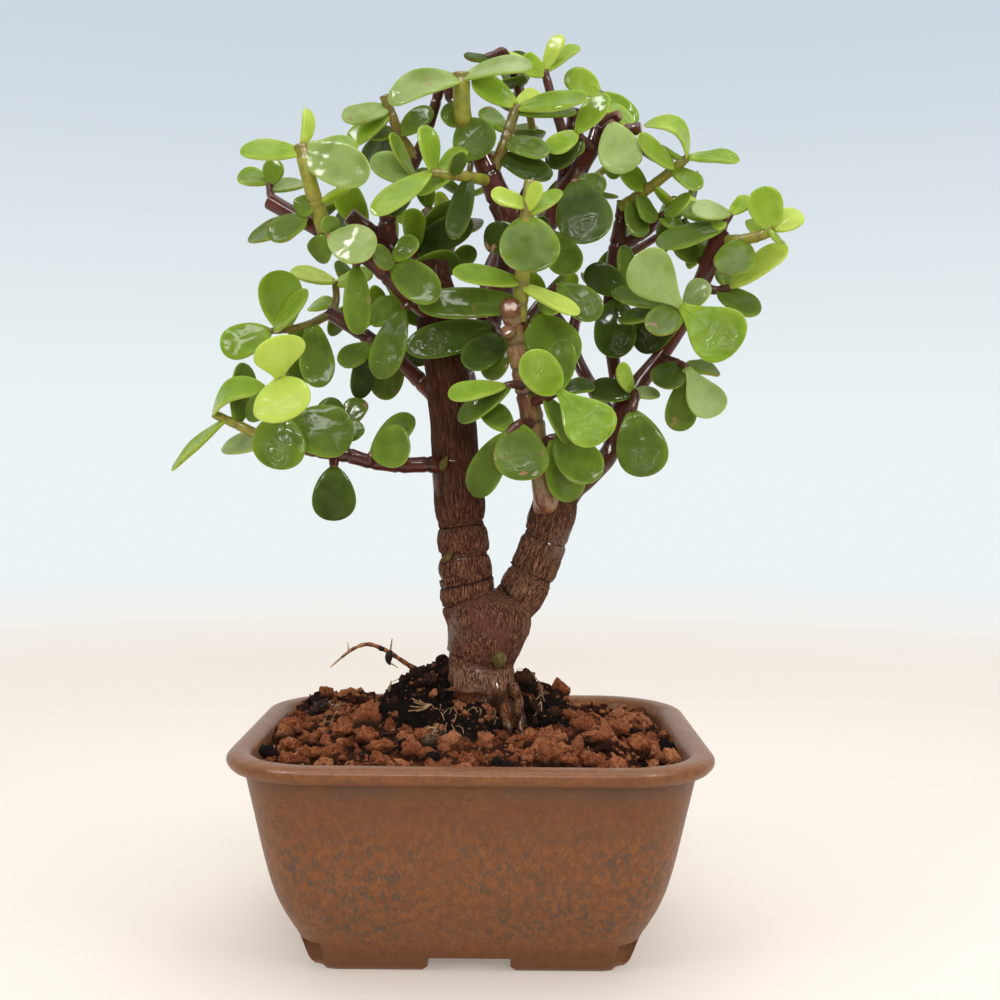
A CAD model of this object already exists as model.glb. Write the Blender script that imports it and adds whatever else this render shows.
"""A dwarf jade bonsai in its glazed pot: the finish of every surface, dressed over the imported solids."""
import math

import bmesh
import bpy
import numpy as np
from mathutils import Matrix, Vector
from mathutils.bvhtree import BVHTree


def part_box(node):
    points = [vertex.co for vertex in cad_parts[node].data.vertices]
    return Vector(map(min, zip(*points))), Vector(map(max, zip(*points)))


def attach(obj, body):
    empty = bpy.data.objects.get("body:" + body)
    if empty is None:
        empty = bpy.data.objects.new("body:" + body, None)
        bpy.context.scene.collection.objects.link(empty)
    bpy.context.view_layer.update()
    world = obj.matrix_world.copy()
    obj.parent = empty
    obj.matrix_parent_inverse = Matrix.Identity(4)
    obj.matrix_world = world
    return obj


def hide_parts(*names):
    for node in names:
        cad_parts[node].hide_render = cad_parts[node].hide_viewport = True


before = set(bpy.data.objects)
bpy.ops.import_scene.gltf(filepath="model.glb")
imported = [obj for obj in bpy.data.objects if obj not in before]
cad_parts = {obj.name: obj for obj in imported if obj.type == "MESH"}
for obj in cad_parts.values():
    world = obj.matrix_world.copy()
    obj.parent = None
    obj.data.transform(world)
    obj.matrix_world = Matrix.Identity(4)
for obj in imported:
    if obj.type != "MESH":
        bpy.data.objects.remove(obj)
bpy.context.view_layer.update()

bl_info = {
    "name": "Dwarf Jade Bonsai",
    "version": (1, 0, 0),
    "blender": (4, 5, 0),
    "location": "3D View > Sidebar > Bonsai",
    "description": "Makes the pot, soil, wood and leafy shoots of a dwarf jade bonsai",
    "category": "Add Mesh",
}

MM = 0.001
MM_IN_METRE = 1000.0
VECTOR = "FLOAT_VECTOR"
POT_LOW, POT_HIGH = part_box("pot")
POT_MIDDLE = np.array([(POT_LOW.x + POT_HIGH.x) / 2, (POT_LOW.y + POT_HIGH.y) / 2, POT_LOW.z])

# Routes and leaves are written in millimetres as they look from the front: x and z in the plane
# through the trunk, then the depth behind that plane. EYE is the point that they spread out from.
EYE = np.array([7.2, -362, 133.5])

# Limbs of wood: each point is x, z, depth, radius. Dips in radius are the node rings.
LIMBS = [
    [(3, 44, 0, 11), (3.5, 56, 0, 14), (3.2, 62, 0, 12.8), (2.4, 69, 0, 10.8), (1.8, 75, 0, 9.9),
     (1.7, 77.5, 0, 9.3), (2, 79, 0, 9.9), (3.4, 85, 0, 11.2), (4.3, 91, 0, 12.2), (4.5, 95.5, 0, 11.2),
     (4.5, 98.5, 0, 6)],
    [(0, 88, 0, 7), (-1.6, 94.5, 0, 7.9), (-2, 96, 0, 7.3), (-2.2, 97.2, 0, 7.9), (-2.2, 101.6, 0, 7.9),
     (-2.5, 102.8, 0, 7.3), (-2.6, 104, 0, 7.7), (-3, 108.2, 0, 7.2), (-3.1, 109.4, 0, 6.7),
     (-3.2, 110.6, 0, 7.3), (-3.6, 114, 0, 7.5), (-4, 117.4, 0, 6.8), (-4.1, 118.6, 0, 6.4),
     (-4.2, 120, 0, 6.9), (-4.6, 126, 0, 7.3), (-5.6, 136, 0, 6.9), (-6.6, 147, 0, 6.7),
     (-7.4, 156, 0, 6.6), (-9, 165, 0, 6.2), (-10.6, 173, 0, 6.4), (-11.3, 182, 0, 5.8),
     (-12, 190, 0, 4.3), (-12, 193.5, 0, 3.9)],
    [(8.5, 91, 0, 6.5), (13.5, 98, 0, 7), (15.6, 101.8, 0, 6.8), (16.2, 103, 0, 6.2),
     (16.8, 104.2, 0, 6.7), (18.8, 109.5, 0, 6.6), (20.2, 113.2, 0, 6.5), (20.6, 114.4, 0, 5.9),
     (21, 115.6, 0, 6.4), (22.4, 121, 1, 6.6), (24.2, 126, 2, 6.2), (27.5, 129.5, 3, 5),
     (33, 133, 5, 3.7), (38.6, 138.5, 7, 2.9), (40.8, 146, 8, 2.7), (42.8, 152.5, 9, 3.4),
     (47.5, 159.5, 10, 2.8), (53, 166.5, 10, 2.4), (58, 174, 10, 2.3), (62, 181.5, 10, 2.6),
     (65.2, 189, 9, 2.7), (68, 196.5, 8, 2.7), (70, 203, 8, 2.9)],
    [(21, 121, -1, 4.2), (19.8, 129, -5, 3.2), (18.2, 138, -8, 3.1), (16.4, 148, -10, 3.2),
     (14.6, 156, -11, 3), (12.8, 163, -12, 2.6), (11.4, 170, -13, 2.5), (10.6, 176, -13, 2.3),
     (10, 181.5, -13, 2.1)],
    [(11, 171, -13, 2), (9.6, 173, -15.5, 2), (8.8, 174, -17, 1.9)],
    [(42.4, 150, 9, 2.3), (40.8, 158, 14, 2), (39.4, 168, 18, 2.1), (39, 180, 20, 2.6),
     (39.8, 191, 20, 2.9), (40.6, 199, 20, 2.6), (41.4, 206, 19, 2), (41.8, 211.5, 18, 1.7)],
    [(41, 198, 20, 1.8), (46, 201, 19, 1.8), (50, 204, 18, 1.7), (50.6, 206.5, 18, 1.5)],
    [(39.6, 183, 20, 1.6), (46, 189, 24, 1.5), (52, 195, 28, 1.4), (57, 203, 31, 1.3)],
    [(-7, 135, -1, 2.8), (-14, 135, -6, 2.3), (-22, 134.8, -7, 2.2), (-30, 135.6, -8, 2),
     (-37, 137.4, -9, 2.1), (-46, 138.6, -10, 1.8), (-53, 140, -11, 1.6)],
    [(-9, 152, 2, 2.6), (-16, 159, 6, 2.4), (-24, 166.5, 8, 2.1), (-33, 172.6, 9, 2.1),
     (-43, 179, 9, 2.2)],
    [(-12, 178, -2, 3), (-19, 183.5, -8, 2.9), (-26, 190, -12, 2.7), (-33, 196, -13, 2.6),
     (-42, 200.6, -13, 2.3), (-51, 205.6, -12, 2.2), (-60, 210.6, -11, 2.4)],
    [(-13, 180, 3, 3), (-21, 190, 8, 2.9), (-25, 198, 9, 2.8), (-26, 205, 8, 2.5), (-24, 212, 7, 2),
     (-20, 218.5, 6, 1.8), (-17, 225, 5, 1.7), (-14.4, 232, 4, 1.6), (-12, 240, 3, 1.5),
     (-10.4, 247, 2, 1.4)],
    [(-25, 199, 9, 2.4), (-31, 202, 5, 2.5), (-37, 206.5, 3, 2.5)],
    [(-6, 160, 3, 3), (0, 169, 6, 3.5), (4.2, 178, 6, 3.7), (7.4, 187, 5, 3.7), (9.6, 196, 3, 3.5),
     (9, 204, 1, 3.5), (6.4, 211.5, -1, 3.6), (3.2, 219, -2, 3.2), (0, 226, -2, 2.9),
     (-3.6, 233, -1, 2.5), (-7, 240, 0, 2.2), (-9, 246, 0, 2)],
    [(8, 189, 4, 2.6), (14, 196, 10, 2.8), (20, 204, 13, 2.8), (24, 212.5, 12, 2.6), (29, 220, 10, 2.6),
     (33, 227, 9, 2.4), (35.4, 233, 9, 2.2), (40.6, 236, 5, 1.6)],
    [(24, 211, 12, 1.8), (25.4, 222, 14, 2), (27, 231, 14, 2), (27.5, 237.5, 14, 1.9)],
    [(-5, 146, 2, 3), (-2, 157, 13, 2.6), (-6, 170, 24, 2.3), (-12, 184, 32, 1.9)],
    [(41, 148, 9, 2.2), (34, 157, 20, 2.1), (28, 170, 30, 1.9), (30, 184, 38, 1.6)],
    [(4, 178, 7, 2.4), (3, 189, 19, 2.1), (8, 201, 28, 1.9), (14, 214, 34, 1.6)],
]

# Leafy shoots: the stem's points, its bark, and its leaves. A leaf is the share of the stem where it
# grows, its tip's x, z and depth, its width, its turn in degrees away from the front, and how far its
# middle arches. The last number is the count of pairs that grow by rule. Each letter of the ages is
# for one leaf: o old and dark, m grown, b bright, y young and yellow-green, p pale and dusty. It is a
# capital where the leaf is wedge-shaped at its base.
SHOOTS = [
    ([(-51, 140, -11, 1.6), (-55, 147, -17, 1.3), (-57, 154, -23, 1.1), (-57, 159.5, -27, 1)], "green",
     "mmYym", [
        (0.4, -58.5, 133.8, -25, 15, 12), (0.3, -35.4, 142.5, -18, 15.5, 18),
        (1, -57.8, 171.5, -33, 16, 30), (1, -55, 147.4, -35, 16.5, -18), (0.7, -66, 149, -14, 8, 30)],
        0),
    ([(12, 177, -12, 2.3), (13, 187, -15, 2.1), (13.4, 197, -17, 2), (14, 207, -18, 1.8),
     (15.4, 217, -18, 1.6)], "green", "myybbymo", [
        (0.74, 16, 190.4, -27, 16.5, 4), (0.82, 3.8, 213.4, -22, 6, 40),
        (0.78, 18.4, 216.6, -24, 5, 35), (0.75, 24, 214, -12, 6, 50), (0.27, -7, 190.6, -22, 8.5, 50),
        (0.25, 29.4, 178.4, -23, 7.5, 55), (0.12, -17, 181.4, -16, 9.5, 22),
        (0.62, 1.4, 200, -11, 9, 15)], 0),
    ([(15, 153, -11, 1.6), (20, 154.6, -16, 1.3), (24, 156.6, -20, 1.1)], "brown", "Bbmmo", [
        (1, 37.6, 142, -27, 14.5, 15), (1, 14, 166.6, -29, 11, 10), (0.5, 28.4, 141.4, -15, 8, 45),
        (0.9, 25.4, 171.4, -17, 8.5, 10), (0.95, 34, 158.8, -12, 6, 45)], 0),
    ([(16.6, 147, -11, 1.6), (12.6, 147, -17, 1.3), (9, 144, -19, 1.1)], "brown", "mmm", [
        (0.55, 13.6, 130.4, -25, 15.5, 10), (1, -0.6, 126, -19, 10.5, 25),
        (0.85, 2.6, 152, -12, 8, 25)], 0),
    ([(14.4, 158, -12, 1.4), (11, 158.4, -17, 1.2), (8.4, 158, -19, 1)], "brown", "bm", [
        (1, -8, 155.2, -24, 8, 50), (0.7, -4.8, 147.4, -17, 8.5, 45)], 0),
    ([(17.8, 139, -8, 1.6), (21, 142.4, -12, 1.3), (24, 143.6, -13, 1.1)], "brown", "mmm", [
        (1, 34.6, 130.4, -21, 12.5, 18), (0.8, 28, 124.6, -13, 11.5, 15), (0.9, 31, 141, -6, 8, 30)],
        0),
    ([(61.6, 180, 9, 1.7), (60, 181, 2, 1.4), (59, 181.4, -5, 1.2)], "brown", "PBmmmop", [
        (1, 45.4, 195.4, -13, 14.5, 12), (1, 75.6, 168.8, -11, 17, 12), (0.7, 38.8, 184.8, -1, 8, 48),
        (0.5, 41, 177.8, 4, 6.5, 50), (0.8, 50, 173.6, -6, 9.5, 15), (0.4, 45.4, 169.6, 3, 11.5, 12),
        (0.3, 66.4, 188.6, 4, 8, 25)], 0),
    ([(53, 166.4, 10, 1.5), (58, 165, 4, 1.3), (61, 163.6, -1, 1.1)], "brown", "PMom", [
        (1, 69.2, 149.2, -6, 11.5, 20), (0.95, 58.6, 145.2, 2, 9.5, 12), (0.6, 53, 157.6, -5, 10, 18),
        (0.9, 70.4, 163, 5, 7.5, 55)], 0),
    ([(43, 153, 9, 1.6), (45.6, 156.4, 4, 1.3), (46, 154, 1, 1.2), (45.4, 150.8, 0, 1.1)], "brown",
     "mpob", [
        (1, 50, 132, -2, 15, 6), (0.3, 53.4, 156, 5, 5, 45), (0.4, 33, 157.2, 0, 8, 30),
        (0.3, 40.6, 164.4, 5, 6, 35)], 0),
    ([(-43.5, 200.4, -13, 2.3), (-46, 208, -16, 2.2), (-48.6, 217, -18, 2.1), (-51, 226.6, -18, 2)],
     "green", "pbybmp", [
        (0.96, -31.6, 217.6, -25, 12, 10), (0.93, -68.6, 225, -18, 8.5, 50),
        (0.97, -49.8, 237, -16, 4.5, 40, 1.5), (0.9, -34.6, 227.8, -11, 7.5, 45),
        (0.45, -52.4, 207.6, -11, 6.5, 30), (0.38, -36.6, 214.4, -11, 8, 105)], 0),
    ([(-41.6, 200, -13, 1.7), (-42.6, 200.6, -18, 1.3)], "brown", "pmm", [
        (1, -30.2, 196.4, -25, 12, 22), (0.8, -47.4, 194, -13, 8, 15),
        (0.6, -42.8, 206.4, -10, 5.5, 20)], 0),
    ([(-34, 196, -13, 1.6), (-35, 192, -16, 1.1)], "brown", "m", [
        (1, -34.4, 172.4, -18, 8, 12)], 0),
    ([(-25, 189.6, -12, 1.6), (-24, 194, -17, 1.2)], "brown", "mmm", [
        (1, -17.4, 200.2, -18, 6.5, 30), (0.9, -30.2, 195, -22, 8, 35),
        (0.8, -11.6, 183, -22, 10.5, 8)], 0),
    ([(3, 217, -3, 1.8), (-3, 218, -10, 1.5), (-8.6, 218.6, -14, 1.4), (-13.6, 219.2, -16, 1.2)],
     "green", "bbbmob", [
        (1, -30.2, 206.8, -23, 8.5, 42), (0.96, -15, 233, -17, 7, 35), (0.85, -4, 226, -9, 6, 40),
        (0.5, -6.4, 225, -21, 6, 30), (0.3, -7, 200.2, -17, 7, 15), (0.6, -18, 214.2, -8, 7.5, 42)], 0),
    ([(-3.4, 231, -1, 2.7), (-4.6, 236, -6, 2.6), (-5, 247.6, -7, 2.4)], "green", "ppmmo", [
        (0.93, -25.6, 238, -14, 10.5, 48, 3), (0.93, 15.6, 249.6, -13, 9, 60, 1.5),
        (0.35, 1.6, 224.2, -17, 13, 0), (0.25, -10.4, 237.6, 0, 7, 25), (0.96, -5.4, 253.2, 5, 5, 40)],
        0),
    ([(4, 218.4, -2, 1.8), (7, 226, -3, 1.7), (9, 232, -3, 1.6), (11, 238.6, -3, 1.5)], "olive",
     "bybmmbo", [
        (1, -2, 246, -7, 8.5, 35), (1, 18.6, 242, 2, 7, 40), (0.96, 31.4, 241, -7, 7.5, 48),
        (0.9, 28, 237.2, 3, 7, 52), (0.45, 20, 225.2, -11, 7.5, 38), (0.6, 1, 237, 4, 6, 35),
        (0.25, 21.4, 217.4, -8, 8, 32)], 0),
    ([(24.6, 219, 12, 1.5), (24.4, 230, 8, 1.5), (21.6, 239, 6, 1.4), (19, 248.6, 5, 1.2)], "brown",
     "ybby", [
        (1, 23.6, 259, 3, 5.5, 38), (0.99, 28.6, 256.4, 8, 5.5, 45), (0.96, 12, 251.6, 1, 7, 25),
        (0.93, 6.4, 253.4, 9, 6, 60)], 0),
    ([(29.4, 220, 9, 1.8), (28.4, 217.4, 1, 1.4), (28, 216.6, -5, 1.2)], "brown", "om", [
        (1, 33, 198.8, -14, 16, 4), (0.8, 37, 215.4, -6, 7, 25)], 0),
    ([(17, 199.6, 11, 1.8), (22, 202, 4, 1.4)], "brown", "mo", [
        (1, 27, 189.6, -4, 11, 12), (0.6, 17, 205, -4, 7, 20)], 0),
    ([(33, 226, 9, 1.6), (30, 229, 3, 1.3), (28.4, 231, -2, 1.1)], "brown", "bbom", [
        (1, 37, 242, -6, 8, 35), (0.96, 20, 225, -9, 7, 30), (0.6, 20.4, 221, 0, 8, 20),
        (0.5, 26.4, 224, -9, 6, 30)], 0),
    ([(35.6, 231, 9, 1.6), (38, 233, 3, 1.4), (38.6, 233.6, -2, 1.2)], "brown", "pm", [
        (1, 42.4, 219.4, -6, 12.5, 6), (0.5, 39, 217.4, 4, 7, 20)], 0),
    ([(35, 229, 9, 1.9), (41, 231.2, 9, 1.9), (46.8, 232.4, 7, 1.8)], "brown", "bm", [
        (0.8, 37, 239.6, 5, 6.5, 40), (0.6, 46, 225, 4, 5, 35)], 0),
    ([(35.4, 232, 11, 1.3), (36, 238, 16, 1.2), (35, 242.6, 16, 1.1)], "brown", "bb", [
        (1, 24.4, 246.4, 10, 8.5, 28, 1.5), (0.95, 44, 247, 16, 8, 50)], 0),
    ([(41.4, 209.6, 18, 1.9), (47, 213.4, 14, 1.7), (53, 218, 10, 1.5), (58, 222, 7, 1.4),
     (60.4, 224, 6, 1.3)], "green", "bbpbbpbmm", [
        (1, 48.2, 234, 4, 9.5, 62, 5), (1, 75.5, 224, 6, 8.5, 66), (0.9, 46.8, 228, 14, 8, 100),
        (0.68, 45.4, 229.6, 3, 7, 45), (0.66, 64, 215.6, 1, 7.5, 45), (0.4, 56.2, 208.6, 15, 8, 105),
        (0.32, 40.8, 221, 10, 7, 30), (0.25, 49.6, 205, 9, 7, 40), (0.14, 46.6, 200.8, 5, 8, 30)], 0),
    ([(50.2, 203.6, 18, 1.4), (52, 206.6, 14, 1.2), (54, 208, 12, 1)], "brown", "bby", [
        (1, 62, 211.6, 8, 7.5, 48), (0.6, 59, 203.2, 9, 6, 55), (0.9, 62, 212, 22, 7, 50)], 0),
    ([(70, 200.4, 8, 1.7), (76, 200.6, 5, 1.6), (81, 201.6, 3, 1.6), (85.4, 203.6, 1, 1.5)], "green",
     "mbybb", [
        (0.35, 73, 190.2, -5, 12, 12), (1, 81, 215.6, -2, 10.5, 15), (1, 93.6, 208.8, -2, 8, 30),
        (0.96, 86.8, 199.2, -3, 6, 70), (0.7, 79.4, 207, 8, 6, 25)], 0),
    ([(70, 202.4, 8, 1.5), (71.4, 205.4, 5, 1.3), (73, 208, 4, 1.1)], "brown", "pbbbm", [
        (1, 62.2, 209.4, 0, 8, 50), (1, 79.6, 213, 6, 6.5, 40), (0.55, 68, 203.8, 0, 4.5, 45),
        (0.5, 57.4, 210, 8, 7.5, 45), (0.4, 51.8, 198.4, -1, 9, 45)], 0),
    ([(65.6, 187, 9, 1.6), (69, 186, 8, 1.3), (73, 187, 6, 1.1)], "brown", "myb", [
        (0.6, 81.6, 179, 3, 9, 38), (1, 89.6, 198.6, 5, 8.5, 35), (0.9, 70.4, 193, 15, 5.5, 20)], 0),
    ([(66.4, 193, 9, 1.5), (64, 195, 14, 1.2)], "brown", "bmm", [
        (1, 60.4, 194, 16, 6.5, 40), (0.8, 57, 200, 20, 8, 30), (0.7, 70, 205, 20, 8, 30)], 0),
    ([(39, 179, 20, 1.8), (41, 183, 13, 1.3), (43, 186, 9, 1.1)], "brown", "oom", [
        (1, 31.2, 191.2, 6, 9.5, 18), (0.5, 39, 166.2, 9, 13, 10), (0.9, 43, 199, 11, 6, 30)], 0),
    ([(11.2, 172.4, -12, 1.6), (15, 178, -8, 1.3), (19, 183, -8, 1.2), (23.4, 187, -11, 1.1)], "brown",
     "mbm", [
        (0.3, 28, 163.6, -8, 15.5, 12), (0.6, 24.6, 181, -17, 7, 25), (1, 35.6, 178.2, -17, 10, 22)],
        0),
    ([(3.4, 176, 5, 1.9), (5, 175, -2, 1.4), (7.6, 172, -6, 1.2)], "brown", "omo", [
        (0.6, -20.2, 168.6, -13, 10.5, 18), (1, 4, 159.6, -9, 8.5, 15), (0.9, -2.6, 162.6, -3, 10, 20)],
        0),
    ([(-53, 140, -10, 1.6), (-60, 142, -8, 1.5), (-68, 145.6, -8, 1.4), (-76, 149.2, -9, 1.2)], "green",
     "bbmp", [
        (0.85, -88.8, 133.2, -9, 8, 76), (1, -60, 156, -14, 10, 55, 4.5), (0.72, -66.4, 164, -4, 9, 35),
        (0.3, -73, 139.4, 1, 9, 50)], 0),
    ([(-37.6, 138, -9, 1.5), (-38, 143, -3, 1.2), (-37.6, 146, 1, 1)], "brown", "mmm", [
        (1, -33, 154, 3, 8, 30), (0.4, -33, 146.4, 1, 6, 20), (0.7, -45, 153, 6, 9, 30)], 0),
    ([(-41, 137.6, -9, 1.6), (-41, 134, -11, 1.2)], "brown", "o", [
        (1, -41, 118.4, -12, 12.5, 5)], 0),
    ([(-30, 135.4, -8, 1.6), (-30, 138, -12, 1.2)], "brown", "mm", [
        (1, -18.6, 141.4, -15, 12.5, 18), (0.5, -18.6, 149.4, -3, 8.5, 22)], 0),
    ([(-42, 178.4, 9, 1.4), (-48, 175.4, 6, 1.2), (-54, 173.8, 4, 1.1), (-59.6, 173.2, 2, 1)], "olive",
     "bbbmm", [
        (1, -73.8, 167.6, 0, 11, 25), (0.78, -57.4, 190.8, 0, 13, 5), (0.94, -48.8, 184.4, -5, 8, 55),
        (0.55, -51, 157.6, 7, 10, 15), (0.3, -45.4, 157, 0, 10.5, 6)], 0),
    ([(-41.6, 178, 9, 1.4), (-40.6, 183, 11, 1.1), (-41, 187.6, 11, 1)], "olive", "ybb", [
        (1, -54, 190.2, 8, 9, 60), (0.9, -30, 190, 13, 7, 45), (0.3, -48.4, 180.8, 15, 7, 55)], 0),
    ([(-30.6, 171, 9, 1.4), (-31, 169.6, 3, 1.1)], "brown", "mo", [
        (1, -39.2, 163, 0, 8, 30), (0.8, -34, 153.8, 2, 7.5, 15)], 0),
    ([(-18.4, 183, -7, 1.5), (-21.4, 180, -10, 1.2)], "brown", "mm", [
        (1, -28, 159.6, -12, 10, 15), (0.5, -31.4, 177, -4, 9, 30)], 0),
    ([(-21, 164, 7, 1.4), (-21.6, 164.4, 13, 1.1)], "brown", "mo", [
        (1, -28.4, 154.4, 15, 9.5, 15), (0.8, -13, 168, 20, 9, 30)], 0),
    ([(-19.6, 219, 6, 1.5), (-18, 218, -1, 1.2)], "brown", "pbo", [
        (1, -31, 222.4, -6, 9, 28), (0.8, -26, 229.6, -3, 6.5, 60), (0.6, -25.4, 206.4, -2, 7.5, 25)],
        0),
    ([(-17.6, 223, 5, 1.5), (-22.6, 230, 4, 1.5), (-25, 236, 3, 1.4), (-27.2, 241, 2, 1.4)], "olive",
     "pbmmo", [
        (0.75, -39.2, 234, 0, 8.5, 48), (0.68, -37.4, 227, -4, 7.5, 42), (0.35, -13.4, 237, -2, 8, 42),
        (0.35, -31.8, 229.4, 9, 6.5, 58), (0.25, -33, 223.4, 10, 8, 30)], 0),
    ([(-59, 210, -11, 1.4), (-59.8, 213, -7, 1.1), (-60, 216, -5, 1)], "brown", "bbp", [
        (1, -69.2, 218, -5, 8, 50), (0.9, -57.8, 222.4, -5, 7, 35), (0.6, -49.8, 216.6, 0, 6.5, 55)],
        0),
    ([(-50, 205, -12, 1.5), (-49.6, 205.8, -17, 1.1)], "brown", "mm", [
        (1, -60, 199.8, -20, 9.5, 45), (0.6, -65.4, 199.6, -9, 8, 50)], 0),
    ([(-20, 188.6, 8, 1.6), (-19, 194, 16, 1.3), (-16, 201, 22, 1.2), (-14, 209, 26, 1)], "brown", "o",
     [
        (0.5, -1, 205, 12, 10, 20)], 4),
    ([(-12, 183, 32, 1.7), (-20, 194, 36, 1.4), (-30, 203, 38, 1.2), (-40, 210, 38, 1)], "brown", "",
     [], 4),
    ([(-8, 175, 27, 1.7), (-20, 178, 34, 1.4), (-33, 182, 38, 1.2)], "brown", "", [], 4),
    ([(-11, 182, 31, 1.7), (-8, 196, 38, 1.4), (-4, 210, 42, 1.2), (-2, 222, 42, 1)], "olive", "", [],
     4),
    ([(14, 213, 34, 1.6), (16, 224, 33, 1.4), (15, 235, 28, 1.2), (12, 244, 22, 1)], "olive", "", [],
     4),
    ([(11, 206, 31, 1.7), (24, 212, 38, 1.4), (36, 220, 38, 1.2), (44, 228, 34, 1)], "green", "", [],
     4),
    ([(30, 183, 38, 1.7), (38, 192, 42, 1.4), (50, 200, 42, 1.2), (60, 206, 38, 1)], "brown", "", [],
     4),
    ([(28.6, 171, 31, 1.7), (22, 180, 40, 1.4), (16, 190, 44, 1.2)], "brown", "", [], 4),
]
# For each letter, the leaf's green from dark to yellow, then how much pale bloom its upper face has
AGE_LOOKS = {
    "o": (0.08, 0.02), "m": (0.36, 0.04), "b": (0.62, 0.04), "y": (0.93, 0.05), "p": (0.52, 0.55),
}
YOUNG_SHOOTS = (2, 10, 14, 15, 16, 17, 24, 26, 28, 38, 43)
OLD_SHOOTS = (4, 8, 9, 12, 19, 29, 30, 31, 32, 36, 39, 40)
STEM_TONES = {"brown": 0.0, "olive": 0.55, "green": 1.0}
RULE_AGES = "oomoom"
# Where a leaf shows at another place than its solid: shoot and leaf, then the tip's x, z and depth,
# and the base's, from 0.
MOVED_LEAVES = {
    (15, 5): ((-4.4, 252, 6), (3.4, 251.6, 8), 4.5, 62),
    (23, 2): ((45.6, 233.4, 15), None, 8, 30),
}
# Leaves that hold a pool of water, as (shoot, leaf)
WET_LEAVES = {
    (1, 1), (1, 4), (3, 1), (3, 2), (4, 1), (6, 2), (7, 2), (7, 6), (8, 1), (9, 1), (15, 3), (18, 1),
    (30, 2), (31, 3), (32, 1),
}

ARCHING_ROOT = [
    (-13.4, 72, 1, 1), (-17, 75.3, 0, 0.85), (-19.2, 76.8, -1, 0.72), (-22.1, 78.7, -3, 0.62),
    (-25.1, 80.6, -4, 0.66), (-28.8, 82.2, -5, 0.62), (-31.3, 82.6, -6, 0.58), (-34, 81.8, -7, 0.5),
    (-36.5, 80.3, -8, 0.46), (-39.4, 77.9, -9, 0.26), (-41.7, 75.8, -10, 0.14),
]
ROOT_HAIRS = [
    [(-24.4, 80.2, -4, 0.3), (-24, 83, -5, 0.22), (-23.8, 84.4, -5, 0.1)],
    [(-25, 80.2, -4, 0.5), (-24.6, 77.6, -5, 0.3), (-22, 75.8, -5, 0.12)],
    [(-36.4, 80.4, -8, 0.3), (-36.6, 82, -8, 0.16), (-36.7, 83.2, -8, 0.08)],
    [(-17.4, 75, 0, 0.4), (-18, 73.2, 1, 0.3), (-17.6, 71.4, 2, 0.3)],
]
# Lumps of soil that hang in the root
ROOT_CLODS = [
    [(-24, 80.9, -4, 0.3), (-24.6, 79.6, -4.6, 1.1), (-24.8, 78, -4.8, 0.9), (-24.4, 76.6, -5, 0.2)],
    [(-26.2, 80.9, -4.4, 0.3), (-27, 81.4, -5, 0.8), (-28, 81.9, -5, 0.3)],
    [(-16.8, 76.4, -0.4, 0.2), (-17.6, 75.2, -0.4, 1.1), (-18.6, 74.2, 0, 0.5)],
]

# The trunk's foot as it shows above the soil, with the roots that flare from it
TRUNK_FOOT = [(3, 44, 0, 8), (3.3, 56, 0, 10.4), (3, 62, 0, 10.7), (2.4, 69, 0, 10.1)]
FLARING_ROOTS = [
    [(7, 71.4, -7.8, 1.2), (7.7, 69, -8.8, 1.7), (8, 66.4, -9.6, 1.2), (9.2, 63.6, -11.2, 1.6),
     (9.1, 61, -12.4, 1.2), (10.2, 58.6, -13.6, 1.2), (10.4, 56, -15, 0.6)],
    [(11.4, 71.4, -5.4, 1.3), (12, 69, -6.6, 1.7), (13.2, 66.4, -7.6, 1.3), (13, 63.6, -9, 1.6),
     (14.2, 61, -10.4, 1.1), (13.8, 58.6, -11.6, 1), (14.4, 56, -13, 0.6)],
    [(3.6, 66.6, -10.4, 0.6), (4.8, 62, -13, 0.9), (5.6, 58, -15.4, 0.5)],
    [(-8.4, 69.4, -7.2, 0.3), (-5.6, 69.7, -9.2, 0.6), (-3, 69, -10.2, 0.8), (0.4, 69.2, -10.6, 0.6),
     (2.6, 68.6, -10.8, 0.8), (4.9, 68.2, -10.2, 0.4)],
    [(12.4, 71.6, 0, 1.6), (15.6, 68, -1, 1.6), (18.4, 64, -2, 1.1), (20.4, 60, -3, 0.8)],
]

# Rings round the thick limbs: the height where the ring crosses the limb's middle, and how far it
# tilts up to the right beyond square to the limb.
LIMB_RINGS = [
    [(78.2, 0.03)],
    [(95.9, 0.27), (100.9, 0.24), (108.7, 0.03), (117.4, 0.02)],
    [(95.6, -0.2), (103.6, 0), (113.6, 0)],
]
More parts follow.
